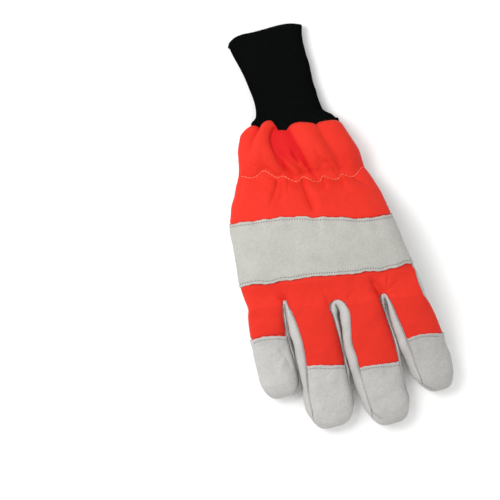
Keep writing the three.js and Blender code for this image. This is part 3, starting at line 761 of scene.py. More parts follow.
class GloveLook(bpy.types.PropertyGroup):
    cloth_colour: FloatVectorProperty(
        name="Cloth", description="Colour of the woven cloth", default=linear("#d42c1e"), subtype="COLOR")
    leather_colour: FloatVectorProperty(
        name="Leather", description="Colour of the split leather", default=linear("#b8b6b3"), subtype="COLOR")
    band_colour: FloatVectorProperty(
        name="Band leather", description="Colour of the band's leather", default=linear("#adaca6"), subtype="COLOR")
    knit_colour: FloatVectorProperty(
        name="Knit", description="Colour of the ribbed cuff", default=linear("#030504"), subtype="COLOR")
    waist_thread_colour: FloatVectorProperty(
        name="Waist thread", description="Colour of the gathering seam's thread", default=linear("#f07860"),
        subtype="COLOR")
    leather_thread_colour: FloatVectorProperty(
        name="Leather thread", description="Colour of the thread through the leather", default=linear("#6d6f6f"),
        subtype="COLOR")
    rib_pitch: FloatProperty(
        name="Rib pitch", description="Distance from one rib of the cuff to the next", default=0.0017, unit="LENGTH")
    rib_depth: FloatProperty(
        name="Rib depth", description="How far a rib stands proud", default=0.0004, unit="LENGTH")
    fold_height: FloatProperty(
        name="Fold height", description="How high the gathered folds stand", default=0.0048, unit="LENGTH")
    edge_roll: FloatProperty(
        name="Edge roll", description="Radius of a panel's edge where it turns into its seam", default=0.0013,
        unit="LENGTH")
    stitch_length: FloatProperty(
        name="Stitch length", description="Length of a stitch through the leather", default=0.0007, unit="LENGTH")
    stitch_gap: FloatProperty(
        name="Stitch gap", description="Gap between stitches through the leather", default=0.0011, unit="LENGTH")
    thread_width: FloatProperty(
        name="Thread width", description="Thickness of the thread through the leather", default=0.0007,
        unit="LENGTH")


def look():
    """The sizes and colours that are set in the panel."""
    return bpy.context.scene.glove_look


# The gathered cloth. Its lines are (share across the back, station), read off the glove's own edges.
TOP_EDGE = [
    (0, 121), (0.03, 122.6), (0.06, 124.4), (0.09, 126.2), (0.112, 128.2), (0.144, 129.5), (0.187, 128.6),
    (0.216, 127.0), (0.233, 129.6), (0.275, 131.2), (0.325, 130.8), (0.361, 127.2), (0.375, 125.4), (0.411, 124.7),
    (0.45, 124.6), (0.494, 127.1), (0.558, 127.8), (0.637, 126.9), (0.693, 126), (0.706, 125.2), (0.737, 126.4),
    (0.801, 126.8), (0.891, 126.4), (1, 125.6),
]
WAIST = [
    (0, 96), (0.03, 94), (0.073, 94.2), (0.122, 93.3), (0.164, 91.9), (0.203, 92.8), (0.25, 96.3), (0.296, 92.9),
    (0.34, 89.8), (0.375, 90.9), (0.414, 88.2), (0.454, 85.4), (0.485, 86.5), (0.509, 89.1), (0.531, 87.1),
    (0.567, 84.2), (0.6, 83.5), (0.639, 88), (0.654, 86.4), (0.69, 84.2), (0.728, 84.5), (0.757, 87.8),
    (0.783, 85.5), (0.824, 84.7), (0.869, 87.4), (0.921, 91), (0.96, 89), (1, 90.5),
]
BAND_EDGE = [
    (0, 60.6), (0.09, 61.1), (0.182, 61.3), (0.299, 61.7), (0.401, 61.4), (0.474, 60.2), (0.518, 59), (0.565, 58.5),
    (0.66, 56.8), (0.72, 55.2), (0.797, 54.1), (0.87, 54.4), (0.934, 54.8), (1, 55.6),
]
BAND_FOOT = [
    (0, 15.4), (0.04, 15.8), (0.09, 16.7), (0.138, 17.1), (0.208, 15.9), (0.27, 17.3), (0.321, 16.8), (0.393, 17.5),
    (0.446, 17.6), (0.549, 16.9), (0.614, 16.6), (0.679, 16.3), (0.712, 17.1), (0.751, 16.7), (0.803, 15.9),
    (0.843, 17.1), (0.896, 17.5), (0.931, 19), (0.977, 19), (1, 19.2),
]

# Folds above the waist: the left and right edge as (height above the waist, share across), how high, and how
# steep to the left and to the right.
HIGH_FOLDS = [
    ([(1, -0.06), (0, -0.12)], [(1, 0.228), (0.73, 0.194), (0.53, 0.19), (0.35, 0.24), (0, 0.34)], 0.9, 0.7, 0.7),
    ([(1, 0.205), (0.73, 0.166), (0.53, 0.138), (0.3, 0.08), (0, 0.05)],
     [(1, 0.372), (0.87, 0.335), (0.71, 0.312), (0.53, 0.32), (0.36, 0.35), (0.19, 0.385), (0, 0.41)], 1, 0.9, 0.5),
    ([(1, 0.36), (0.4, 0.33), (0, 0.38)], [(1, 0.46), (0.4, 0.52), (0, 0.44)], 0.1, 1, 1),
    ([(0.62, 0.37), (0.36, 0.372), (0.17, 0.4), (0, 0.42)],
     [(0.62, 0.44), (0.38, 0.5), (0.225, 0.55), (0.06, 0.6), (0, 0.63)], 0.55, 0.7, 1.2),
    ([(1, 0.452), (0.8, 0.48), (0.58, 0.5), (0.38, 0.525), (0.225, 0.555), (0.06, 0.602), (0, 0.62)],
     [(1, 0.75), (0.71, 0.755), (0.43, 0.77), (0.225, 0.775), (0, 0.77)], 1.0, 0.55, 1.1),
    ([(1, 0.665), (0.7, 0.675), (0.43, 0.7), (0.2, 0.73), (0, 0.745)], [(1, 1.12), (0, 1.12)], 0.95, 0.55, 1),
]

# Sharper creases above the waist, over the plan in millimetres: line, depth, width, lip, spread, fade at both ends.
HIGH_CREASES = [
    ([(-23.9, 103.5), (-19.5, 97.5), (-15.8, 92.5)], 1.0, 1.3, 0.5, 4, (0.25, 0.1)),
    ([(-16, 111), (-11.7, 100.5), (-7, 91.2), (-4.6, 87.5)], 1.9, 2.0, 1.2, 5, (0.35, 0.12)),
    ([(-12, 115), (-6.4, 103), (-0.2, 94.4), (4, 87.5)], 1.9, 2.0, 1.3, 5, (0.4, 0.12)),
    ([(-2.5, 109.9), (0.5, 100.1), (3.6, 95.8)], 1.0, 1.8, -0.6, 4, (0.3, 0.3)),
    ([(18.9, 98.2), (21.5, 91.5), (24.5, 85.5)], 1.0, 1.6, 0.6, 4, (0.3, 0.12)),
    ([(-26.5, 104.5), (-31.5, 103), (-35, 98.5)], 0.25, 2.0, 0.3, 4, (0.3, 0.4)),
    ([(12.5, 107), (15.5, 99), (19, 92)], 0.8, 1.5, 0.4, 4, (0.3, 0.15)),
    ([(5.5, 100), (7.5, 94), (9.5, 89)], 0.7, 1.5, 0.4, 4, (0.3, 0.15)),
]

# Creases below the waist.
LOW_CREASES = [
    ([(-41, 98), (-44, 88), (-48, 78)], 1.0, 2.4, 0.8, 7, (0.08, 0.5)),
    ([(-16.7, 91.8), (-19.2, 85.4), (-23.9, 78.3), (-28.7, 71.3)], 1.4, 2.0, -1.1, 6, (0.08, 0.5)),
    ([(-13.6, 91), (-17.3, 80), (-24, 70.1)], 1.1, 1.7, 0.7, 5, (0.08, 0.5)),
    ([(-9, 89.6), (-11.1, 83.3), (-14.2, 75.8)], 1.0, 1.6, 0.7, 5, (0.08, 0.6)),
    ([(1.1, 88.5), (-0.1, 83), (0.8, 74.5), (1.9, 60.5)], 2.4, 2.0, 1.3, 8, (0.08, 0.25)),
    ([(15.2, 85.6), (14.1, 79.4), (13.4, 72.9)], 1.4, 1.8, 1.0, 6, (0.08, 0.6)),
    ([(28.1, 83), (26.9, 76.9), (25.7, 69.7)], 1.2, 1.8, 0.9, 6, (0.08, 0.6)),
    ([(35.7, 79.6), (40.1, 74.3), (47.7, 68.2)], 1.0, 2.0, 0.8, 7, (0.05, 0.5)),
    ([(22.9, 65.5), (33.3, 67), (43.2, 66.9)], 0.6, 2.2, 0.7, 7, (0.3, 0.3)),
]


def through(line, at):
    """A smooth line through a list of pairs."""
    return curve(np.array(line, float), 1, at)


def down(line, height):
    """A fold's edge, from its list of (height, share) with the highest first."""
    line = np.array(line[::-1], float)
    return curve(line, 1, np.clip(height, line[0, 0], line[-1, 0]))


def folds_above(share, height):
    """How high the gathered folds stand above the waist, from 0 to about 1."""
    total = np.zeros_like(share)
    for left, right, rise, steep_left, steep_right in HIGH_FOLDS:
        start, end = down(left, height), down(right, height)
        part = np.clip((share - start) / np.maximum(end - start, 1e-4), 0, 1)
        power = steep_left * (1 - part) + steep_right * part
        fade = ease((left[0][0] - height) / 0.4) if left[0][0] < 1 else 1.0
        # High powers keep the valleys narrow where two folds meet, without a sharp line.
        total = total + (rise * fade * (np.sin(np.pi * part) + 1e-9) ** power) ** 5
    return total ** 0.2


def back_sheet(columns, rows, foot, top, tuck=0.0, grow=0.0):
    """A sheet over the back of the hand between two lines, with its points, its shares across and its stations.

    tuck is how far it reaches down past its foot, and grow how far it stands off the skin.
    """
    def station(share, along):
        low, high = through(foot, share) - tuck, through(top, share)
        return low + (high - low) * along

    def place(column, row):
        return back_skin(column / columns, station(column / columns, row / rows), grow)

    bm = sheet(columns, rows, place)
    facing(bm, 1)
    share, along = steps(bm, "column") / columns, steps(bm, "row") / rows
    return bm, spots(bm), share, station(share, along)


# How wide the gathered cloth is when it is laid flat, and how far the stitches lie from the leather's edges.
CLOTH_WIDTH, STITCH_INSET = 104.0, 2.0

# How deep the waist's thread pulls the cloth in, how deep the cloth lies under the band, and how far the knit's
# seam draws its edge down.
WAIST_DEPTH, UNDER_BAND, TOP_DRAW = 0.6, 1.3, 3.4


class GLOVE_OT_gathered_cloth(bpy.types.Operator):
    """The cloth over the back of the wrist, gathered at the knit's seam and at the stitched waist"""
    bl_idname = "glove.gathered_cloth"
    bl_label = "Gathered cloth"

    def execute(self, context):
        columns, rows = 250, 170
        height = look().fold_height / MM
        bm, points, share, at = back_sheet(columns, rows, BAND_EDGE, TOP_EDGE, tuck=3)
        # Shares of the way from the waist up to the knit's seam and down to the band.
        waist, top, low = through(WAIST, share), through(TOP_EDGE, share), through(BAND_EDGE, share)
        above = np.clip((at - waist) / (top - waist), 0, 1)
        below = np.clip((waist - at) / (waist - low), 0, 1)
        along = np.linspace(0, 1, 120)
        from_seam = line_distance(points, back_skin(along, through(WAIST, along))[:, :2])[0]
        # The folds die away to both sides, and are pinched flat at the waist's seam.
        sides = ease(share / 0.1) * ease((1 - share) / 0.16)
        pinch = 1 - np.exp(-from_seam / np.where(at >= waist, 5.0, 3.2))
        pulled = WAIST_DEPTH * (1 - pinch) * (0.3 + 0.7 * sides)
        shoulder = np.sqrt(np.clip(1 - (1 - np.clip((top - at) / 4.5, 0, 1)) ** 2, 0, 1))
        tall = folds_above(share, above)
        flat = 0.4 + 0.6 * ease(above / 0.55)
        upper = (tall * height * flat - (1 - tall)) * pinch * (0.35 + 0.65 * shoulder) * sides
        upper = upper - TOP_DRAW * (1 - shoulder) * (0.25 + 0.75 * sides) - pulled + creased(points, HIGH_CREASES)
        lower = 1.4 * np.sin(np.pi * below ** 0.7) * pinch * sides - pulled + creased(points, LOW_CREASES)
        lower = lower + lumps(points, 16, 1.0, 3) * sides * pinch * np.sin(np.pi * below)
        relief = np.where(at >= waist, upper, lower) - UNDER_BAND * ease((low + 1.5 - at) / 2.5)
        relief = relief + lumps(points, 7, 0.28, 11) + lumps(points, 3, 0.08, 5)
        relief = relief + rolled(edge_distance(bm, (0, rows)), look().edge_roll / MM)
        emboss(bm, relief)
        # Painted shade: the colour is painted darker and redder in the valleys between the folds above the waist,
        # where the folds shade each other.
        painted_fold_shade = ease(1 - tall / 0.6) * ease(from_seam / 8) * ease((top - at) / 3) * sides
        valley = np.where(at >= waist, painted_fold_shade, 0)
        weave = np.column_stack([share * CLOTH_WIDTH, at])
        cloth = polyester_cloth(look().cloth_colour)
        finish_panel(bm, "gathered_cloth", cloth, "gathered_back", CLOTH, weave, valley)
        return {"FINISHED"}


class GLOVE_OT_leather_band(bpy.types.Operator):
    """The bare leather band over the back of the hand, lapped over the cloth at both edges"""
    bl_idname = "glove.leather_band"
    bl_label = "Leather band"

    def execute(self, context):
        columns, rows = 210, 84
        bm, points, share, at = back_sheet(columns, rows, BAND_FOOT, BAND_EDGE, grow=0.6)
        from_top, from_foot = through(BAND_EDGE, share) - at, at - through(BAND_FOOT, share)
        sides = ease(share / 0.08) * ease((1 - share) / 0.08)
        # The stitches tug both edges into small waves.
        tug = np.exp(-np.maximum(from_top, 0) / 7) + 0.7 * np.exp(-np.maximum(from_foot, 0) / 5)
        relief = lumps(points, 24, 0.9, 21) * sides + lumps(points, 9, 0.25, 4)
        relief = relief + tug * sides * 0.5 * np.sin(share * 58 + 0.8 * np.sin(share * 23))
        relief = relief + crease(points, [(1.9, 61), (3, 52), (2, 45)], 0.8, 1.8, 0.5, 5, (0.1, 0.6))
        for away in (from_top, from_foot):
            relief = relief - 0.25 * np.exp(-((away - STITCH_INSET) / 0.7) ** 2)
        relief = relief + rolled(edge_distance(bm, (0, rows)), look().edge_roll / MM)
        wavy = 0.3 * np.sin(share * 96) * np.sin(share * 41) * np.exp(-np.minimum(from_foot, from_top) / 2.5)
        for vert, move in zip(bm.verts, wavy):
            vert.co.y += move
        emboss(bm, relief)
        weave = np.column_stack([share * PALM_WIDTH, at])
        leather = split_leather(look().band_colour, "band_leather")
        finish_panel(bm, "leather_band", leather, "knuckle_band", LEATHER, weave)
        return {"FINISHED"}


def face_columns(face, per_finger, per_web):
    """Each column of a face's sheet as (segment, part across it)."""
    columns = [(0, 0.0)]
    for k, (_, web, _, _) in enumerate(SEGMENTS[face]):
        if web:
            parts = [(1 - math.cos(math.pi * j / per_web)) / 2 for j in range(1, per_web + 1)]
        else:
            parts = [j / per_finger for j in range(1, per_finger + 1)]
        columns += [(k, part) for part in parts]
    return columns


def face_sheet(face, stations, per_finger, per_web):
    """A face of the hand with its fingers cut free of each other down to their roots."""
    columns = face_columns(face, per_finger, per_web)
    grid = np.array([face_column(face, k, part, stations) for k, part in columns])
    bm = sheet(len(columns) - 1, len(stations) - 1, lambda column, row: grid[column, row])
    webs, reached = set(), 0
    for _, web, _, _ in SEGMENTS[face]:
        count = per_web if web else per_finger
        if web:
            webs.update(range(reached, reached + count))
        reached += count
    layers = [bm.verts.layers.float[name] for name in ("column", "row")]
    root = int(np.searchsorted(stations, -1e-6))
    gone = []
    for quad in bm.faces:
        column = min(vert[layers[0]] for vert in quad.verts)
        row = max(vert[layers[1]] for vert in quad.verts)
        if int(column) in webs and row <= root:
            gone.append(quad)
    bmesh.ops.delete(bm, geom=gone, context="FACES")
    return bm


# Wrinkles of the cloth at the knuckles, over the plan: they fan out from the ends of the finger slots.
KNUCKLE_CREASES = [
    ([(37.5, -4), (39.5, 3), (42, 10)], 0.8, 1.2, 0.5, 4, (0.14, 0.5)),
    ([(37.5, -4), (44, 0), (50, 2)], 0.7, 1.2, 0.4, 4, (0.14, 0.6)),
    ([(35, -4), (31, 3), (25, 9)], 0.7, 1.2, 0.4, 4, (0.14, 0.5)),
    ([(34, -5), (27, -2), (19, -1)], 0.5, 1.3, 0.3, 4, (0.14, 0.6)),
    ([(38, -6), (43, -6), (50, -9)], 0.6, 1.2, 0.4, 4, (0.14, 0.6)),
    ([(-33, 8), (-38, 12), (-45, 15)], 0.7, 1.3, 0.4, 4, (0.14, 0.6)),
    ([(-32, 7.5), (-30, 13), (-31, 18)], 0.6, 1.2, 0.4, 4, (0.14, 0.6)),
    ([(4, -1), (2, 4), (-3, 10)], 0.4, 1.4, 0.3, 4, (0.14, 0.6)),
    ([(8, -3), (14, 1), (20, 2)], 0.4, 1.4, 0.3, 4, (0.14, 0.6)),
]


class GLOVE_OT_finger_cloth(bpy.types.Operator):
    """The cloth over the knuckles and the backs of the four fingers, down to their leather caps"""
    bl_idname = "glove.finger_cloth"
    bl_label = "Finger cloth"

    def execute(self, context):
        down, up = -np.linspace(CAP_ROW + 0.045, 0.0, 80), np.linspace(0.4, KNUCKLES + 4, 38)
        stations = np.concatenate([down, up])
        bm = face_sheet("back", stations, 38, 10)
        facing(bm, 1)
        points = spots(bm)
        station = stations[steps(bm, "row").astype(int)]
        seam = edge_distance(bm, (0, len(stations) - 1))
        relief = rolled(seam, 0.6 * look().edge_roll / MM) + creased(points, KNUCKLE_CREASES)
        relief = relief + (lumps(points, 14, 0.9, 31) + lumps(points, 6, 0.35, 8)) * ease(seam / 6)
        # The cloth dips under the band's foot and under the caps' edges.
        relief = relief - 0.9 * ease((station - 14.5) / 2.5) - 0.7 * ease((0.01 - CAP_ROW - station) / 0.02)
        emboss(bm, relief)
        cloth = polyester_cloth(look().cloth_colour)
        finish_panel(bm, "finger_cloth", cloth, "back_panel", CLOTH, points[:, :2])
        return {"FINISHED"}


class GLOVE_OT_palm_leather(bpy.types.Operator):
    """The one piece of leather under the whole hand, open where the thumb is sewn in"""
    bl_idname = "glove.palm_leather"
    bl_label = "Palm leather"

    def execute(self, context):
        stations = np.concatenate([-np.linspace(1, 0.0, 91), np.linspace(0.8, HAND, 130)])
        bm = face_sheet("front", stations, 26, 6)
        facing(bm, -1)
        # The thumb's hole: every face of the hand's underside that lies over the thumb's root.
        centres = np.array([quad.calc_center_median() for quad in bm.faces])
        heading = np.array([math.cos(THUMB_HEADING), math.sin(THUMB_HEADING)])
        away = centres[:, :2] - np.array(THUMB_ROOT)
        reach, aside = away @ heading, away @ np.array([-heading[1], heading[0]])
        inside = (reach > -2) & (reach < 0.3 * THUMB_LENGTH) & (np.abs(aside) < THUMB_WIDTH / 2 - 2)
        inside = inside & (centres[:, 2] < PALM_LIFT + 3)
        bmesh.ops.delete(bm, geom=[quad for quad, cut in zip(bm.faces, inside) if cut], context="FACES")
        points = spots(bm)
        seam = edge_distance(bm)
        relief = rolled(seam, look().edge_roll / MM)
        emboss(bm, relief + (lumps(points, 20, 1.0, 41) + lumps(points, 7, 0.4, 9)) * ease(seam / 6))
        above_floor(bm)
        leather = split_leather(look().leather_colour)
        finish_panel(bm, "palm_leather", leather, "palm", LEATHER, points[:, :2])
        return {"FINISHED"}


class GLOVE_OT_thumb_leather(bpy.types.Operator):
    """The leather thumb, folded under the palm and sewn into it"""
    bl_idname = "glove.thumb_leather"
    bl_label = "Thumb leather"

    def execute(self, context):
        columns, rows = 96, 64
        turns = np.linspace(0, 360, columns + 1)
        shares = np.linspace(0, 1, 161)
        # Each line down the thumb starts where it comes out of the palm.
        first = []
        for turn in turns:
            line = thumb_skin(turn, shares)
            under = line[:, 2] < palm_height(line[:, 0], line[:, 1])
            first.append(shares[max(int(np.argmax(under)) - 1, 0)] if under.any() else 0.3)
        first = np.array(first)
        first[-1] = first[0]

        def place(column, row):
            start = first[column]
            return thumb_skin(turns[column], start + (1 - start) * (row / rows) ** 0.9)

        bm = sheet(columns, rows, place)
        layer = bm.verts.layers.float["row"]
        # The tip's last row closes to a point, and the first and last columns to a tube.
        bmesh.ops.remove_doubles(bm, verts=[vert for vert in bm.verts if vert[layer] == rows], dist=0.12)
        bmesh.ops.remove_doubles(bm, verts=bm.verts[:], dist=0.02)
        bmesh.ops.recalc_face_normals(bm, faces=bm.faces[:])
        points = spots(bm)
        facing_out(bm, Vector(np.mean(points, axis=0)))
        emboss(bm, lumps(points, 12, 0.9, 51) + lumps(points, 5, 0.3, 6))
        above_floor(bm)
        leather = split_leather(look().leather_colour)
        finish_panel(bm, "thumb_leather", leather, "thumb", LEATHER, points[:, :2])
        return {"FINISHED"}


# How high the caps and the strips stay over the floor, since the palm's leather lies under them.
OFF_FLOOR = 0.1

# Each cap's upper edge: how far it departs from its straight line, in millimetres towards the wrist.
CAP_EDGES = {
    "little": [(0, -1.8), (0.15, -1.8), (0.3, -1.4), (0.5, -0.8), (0.7, -1.3), (0.85, -2.4), (1, -3.4)],
    "ring": [(0, 1.3), (0.15, 1.6), (0.3, 1.4), (0.5, 0.3), (0.7, 0.2), (0.85, -0.5), (1, -0.7)],
    "middle": [(0, 1.4), (0.15, 1.8), (0.3, 1.7), (0.5, 1), (0.7, 0), (0.85, -0.3), (1, -0.5)],
    "index": [(0, 0.5), (0.15, 1.6), (0.3, 2.2), (0.5, 1.3), (0.7, 0), (0.85, 0), (1, 0)],
}

# Creases that a finger has worn into its cap.
CAP_CREASES = {
    "little": [
        ([(-46.5, -24), (-42.5, -31), (-40.5, -38), (-41, -44)], 0.7, 1.6, 0.5, 4, (0.3, 0.3)),
        ([(-44, -30), (-48, -34), (-50, -39)], 0.4, 1.6, 0.3, 3, (0.3, 0.4)),
    ],
}

# Painted shade: how light each cap's leather is painted, darker towards the index finger's side, where less of the
# light falls.
PAINTED_SHADE_TONES = {"little": 1.0, "ring": 0.98, "middle": 0.93, "index": 0.87}


class GLOVE_OT_fingertip_caps(bpy.types.Operator):
    """The leather caps on the backs of the fingertips, lapped over the cloth"""
    bl_idname = "glove.fingertip_caps"
    bl_label = "Fingertip caps"

    def execute(self, context):
        columns, rows = 56, 90
        for number, finger in enumerate(FINGERS):
            name = finger["name"]
            reach = finger_reach(finger, SHARES)[0] * finger["length"]

            def place(column, row):
                part = column / columns
                rise = through(CAP_EDGES[name], part) + 0.15 * np.sin(part * 40 + number)
                start = np.interp(finger["cap"] * finger["length"] - rise, reach, SHARES)
                share = start + (1 - start) * row / rows
                spot = finger_spot(finger, "back", part, share)
                spot[:, 2] += SEAM_GAP * ease((share - BEND_ROW) / (1 - BEND_ROW))
                return spot

            bm = sheet(columns, rows, place)
            facing(bm, 1)
            points = spots(bm)
            seam, lap = edge_distance(bm, (0,)), edge_distance(bm, only=0)
            relief = rolled(seam, look().edge_roll / MM) + creased(points, CAP_CREASES.get(name, []))
            relief = relief + 0.75 * ease(1 - lap / 7) * ease(seam / 2) - 0.2 * np.exp(-((lap - 2.1) / 0.6) ** 2)
            uneven = lumps(points, 10, 0.8, 61 + number) + lumps(points, 4, 0.3, 7 + number)
            emboss(bm, relief + uneven * ease(seam / 4))
            above_floor(bm, OFF_FLOOR)
            # Each cap has its own copy of the leather, darkened by its painted shade tone.
            leather = split_leather(shade(look().leather_colour, PAINTED_SHADE_TONES[name]), "split_leather_painted_shade_" + name)
            finish_panel(bm, "cap_" + name, leather, "fingertip_" + name, LEATHER, points[:, :2])
        return {"FINISHED"}


# Where the two strips of each slot meet, over the plan from the web towards the tips, and how far down they touch.
SLOT_CREASES = (
    ([
        (-33.6, 5.5), (-34.4, 0.6), (-35, -6), (-36, -15.1), (-35.6, -21.6), (-35.4, -28.9), (-35.6, -37.8),
        (-36.3, -60),
    ], -52),
    ([
        (0.8, -4), (1.7, -7.8), (0.9, -12.9), (0.8, -19.3), (-0.6, -30.5), (-1.1, -38.4), (-0.6, -46.7),
        (0.2, -60),
    ], -50),
    ([
        (34.8, -5.1), (35.5, -10.2), (35.1, -17.3), (35.5, -26.4), (36.2, -33.8), (36.8, -40.2), (37.4, -60),
    ], -42),
)

# Half the gap that is left along each crease, how much more it opens, where down the slot, and over what length.
SLOT_GAPS = ((0.35, 0.25, -24, 10), (0.4, 0.5, -12, 6), (0.4, 0.5, -17, 8))

# The share of a strip's way on either side of the web's middle that goes round the web.
WEB_WAY = 0.1

# How deep a strip's flanges lie under its neighbours, and how deep its two ends lie under the caps.
FLANGE_DEPTH, END_DEPTH = 2.0, 1.7

# The share of the way to a tip where a strip starts to dive under the cap.
DIVE = 0.8


def strip_point(number, down_share, way):
    """The leather between two fingers: way runs from -1 at the left one's tip, round the web, to 1.

    Above 0 and below 1 down its width lie the seams, and past them a flange turned in under its neighbours.
    From the web as far as the fingers touch, each strip rolls out from its seam to the crease between them.
    """
    left, right = FINGERS[number], FINGERS[number + 1]
    line, parting = SLOT_CREASES[number]
    line = smooth_line(line, 60)[::-1]
    share = np.maximum(ROOT_ROW + (STRIP_END - ROOT_ROW) * (np.abs(way) - WEB_WAY) / (1 - WEB_WAY), ROOT_ROW)
    flange = np.maximum(-down_share, 0) + np.maximum(down_share - 1, 0)
    end = ease((np.abs(way) - DIVE) / 0.18)
    shrink = -FLANGE_DEPTH * ease(flange / 0.07) * (1 - end) - END_DEPTH * end
    turn = np.clip((way + WEB_WAY) / (2 * WEB_WAY), 0, 1) * math.pi

    def side(finger, at, down, grow):
        """A spot between the two seams on the side of a finger that faces the slot."""
        right_side = finger is left
        seams = [
            finger_seam(finger, "back", int(right_side), at),
            finger_seam(finger, "front", int(right_side), at) - (360 if right_side else 0),
        ]
        start, end = seam_span(finger, *seams, at)
        return finger_skin(finger, at, start + (end - start) * down, grow)

    def around(down, grow):
        """The strip before it is rolled: flat on the fingers' sides and bent round the web."""
        points = np.where((way < 0)[:, None], side(left, share, down, grow), side(right, share, down, grow))
        root = np.full_like(way, ROOT_ROW)
        start, end = side(left, root, down, grow), side(right, root, down, grow)
        roots = [side(left, root * 0, down, 0.0), side(right, root * 0, down, 0.0)]
        web = (roots[0][:, 1] + roots[1][:, 1]) / 2 + WEB_ARCHES[number]
        bend = start + (end - start) * ((1 - np.cos(turn)) / 2)[:, None]
        bulge = WEB_BULGE * np.sin(math.pi * np.clip(down, 0, 1))
        bend[:, 1] += (web + 0.6 - (start[:, 1] + end[:, 1]) / 2 - bulge + 1.2 * ease(flange / 0.07)) * np.sin(turn)
        return np.where((np.abs(way) <= WEB_WAY)[:, None], bend, points)

    # Half-way down its width the rolled strip is at the crease, and from there it goes back under to its lower seam.
    flat = around(down_share, shrink)
    top, foot = around(np.zeros_like(way), 0.0), around(np.ones_like(way), 0.0)
    crease_y = top[:, 1] - np.where(np.abs(way) <= WEB_WAY, 4.0 * np.sin(turn), 0)
    base, more, widest, spread = SLOT_GAPS[number]
    half = base + more * np.exp(-((crease_y - widest) / spread) ** 2)
    meet = np.interp(crease_y, line[:, 1], line[:, 0]) + half * np.clip(way / WEB_WAY, -1, 1)
    reach = np.abs(meet - top[:, 0]) + np.abs(crease_y - top[:, 1])
    drop = 1.4 + 0.5 * reach
    part = np.clip(down_share / 0.5, 0, 1)
    out, fall = np.sin(part * math.pi / 2), 1 - np.cos(part * math.pi / 2)
    low = np.clip(down_share / 0.5 - 1, 0, 1)
    x = top[:, 0] + (meet - top[:, 0]) * out
    y = top[:, 1] + (crease_y - top[:, 1]) * out
    lift = np.where(way < 0, 0.48, 0.15) * reach + 0.1
    lift = np.minimum(lift + (1.3 - lift) * np.sin(turn), 2.4)
    z = top[:, 2] + lift * np.sin(part * math.pi) ** 0.8 - drop * fall
    roll = stacked(x + (foot[:, 0] - x) * low ** 2, y + (foot[:, 1] - y) * low, z + (foot[:, 2] - z) * low)
    touching = (1 - ease((parting - top[:, 1]) / 14)) * ease(1 - flange / 0.03)
    return flat + (roll - flat) * touching[:, None]


class GLOVE_OT_side_strips(bpy.types.Operator):
    """The leather strips between the fingers, each down to the web and out to the next fingertip"""
    bl_idname = "glove.side_strips"
    bl_label = "Side strips"

    def execute(self, context):
        inner, flange = 36, 4
        columns = inner + 2 * flange
        downs = (np.arange(columns + 1) - flange) / inner
        arm = np.linspace(1, WEB_WAY, 110)
        ways = np.concatenate([-arm, np.linspace(-WEB_WAY, WEB_WAY, 31)[1:-1], arm[::-1]])
        for number, (left, right) in enumerate(zip(FINGERS, FINGERS[1:])):
            bm = sheet(columns, len(ways) - 1, lambda column, row: strip_point(number, downs[column], ways[row]))
            middle = (left["outline"][0, 2] + right["outline"][0, 1]) / 2 * PALM_WIDTH
            turn_faces(bm, lambda face: face.normal.x * (middle - face.calc_center_median().x))
            points = spots(bm)
            way, down_share = ways[steps(bm, "row").astype(int)], downs[steps(bm, "column").astype(int)]
            inside = np.clip(down_share, 0, 1)
            seam = np.minimum(inside, 1 - inside) * 14
            relief = rolled(seam, 0.4 * look().edge_roll / MM) + lumps(points, 9, 0.5, 71 + number) * ease(seam / 3)
            emboss(bm, relief * (1 - ease((np.abs(way) - DIVE) / 0.15)))
            above_floor(bm, OFF_FLOOR)
            name = "strip_" + left["name"] + "_" + right["name"]
            leather = split_leather(look().leather_colour)
            finish_panel(bm, name, leather, "side_" + name, LEATHER, points[:, :2])
        return {"FINISHED"}


# The mouth's edge: share of half its width from its middle, and how far it departs towards the wearer.
CUFF_MOUTH = [
    (-1, -0.8), (-0.97, 1.4), (-0.9, 2.8), (-0.72, 4.6), (-0.54, 5.2), (-0.3, 4.8), (0, 4.8), (0.25, 5.1), (0.52, 5),
    (0.8, 3.9), (0.95, 2.6), (0.99, 1.7), (1, 0.6),
]

# How many columns of the sheet make one rib, how far the knit is drawn out sideways at its right foot, and how
# much thinner its wall is drawn than the solid's.
RIB_COLUMNS, SHOULDER, CUFF_THINNER = 6, 3.6, 0.6


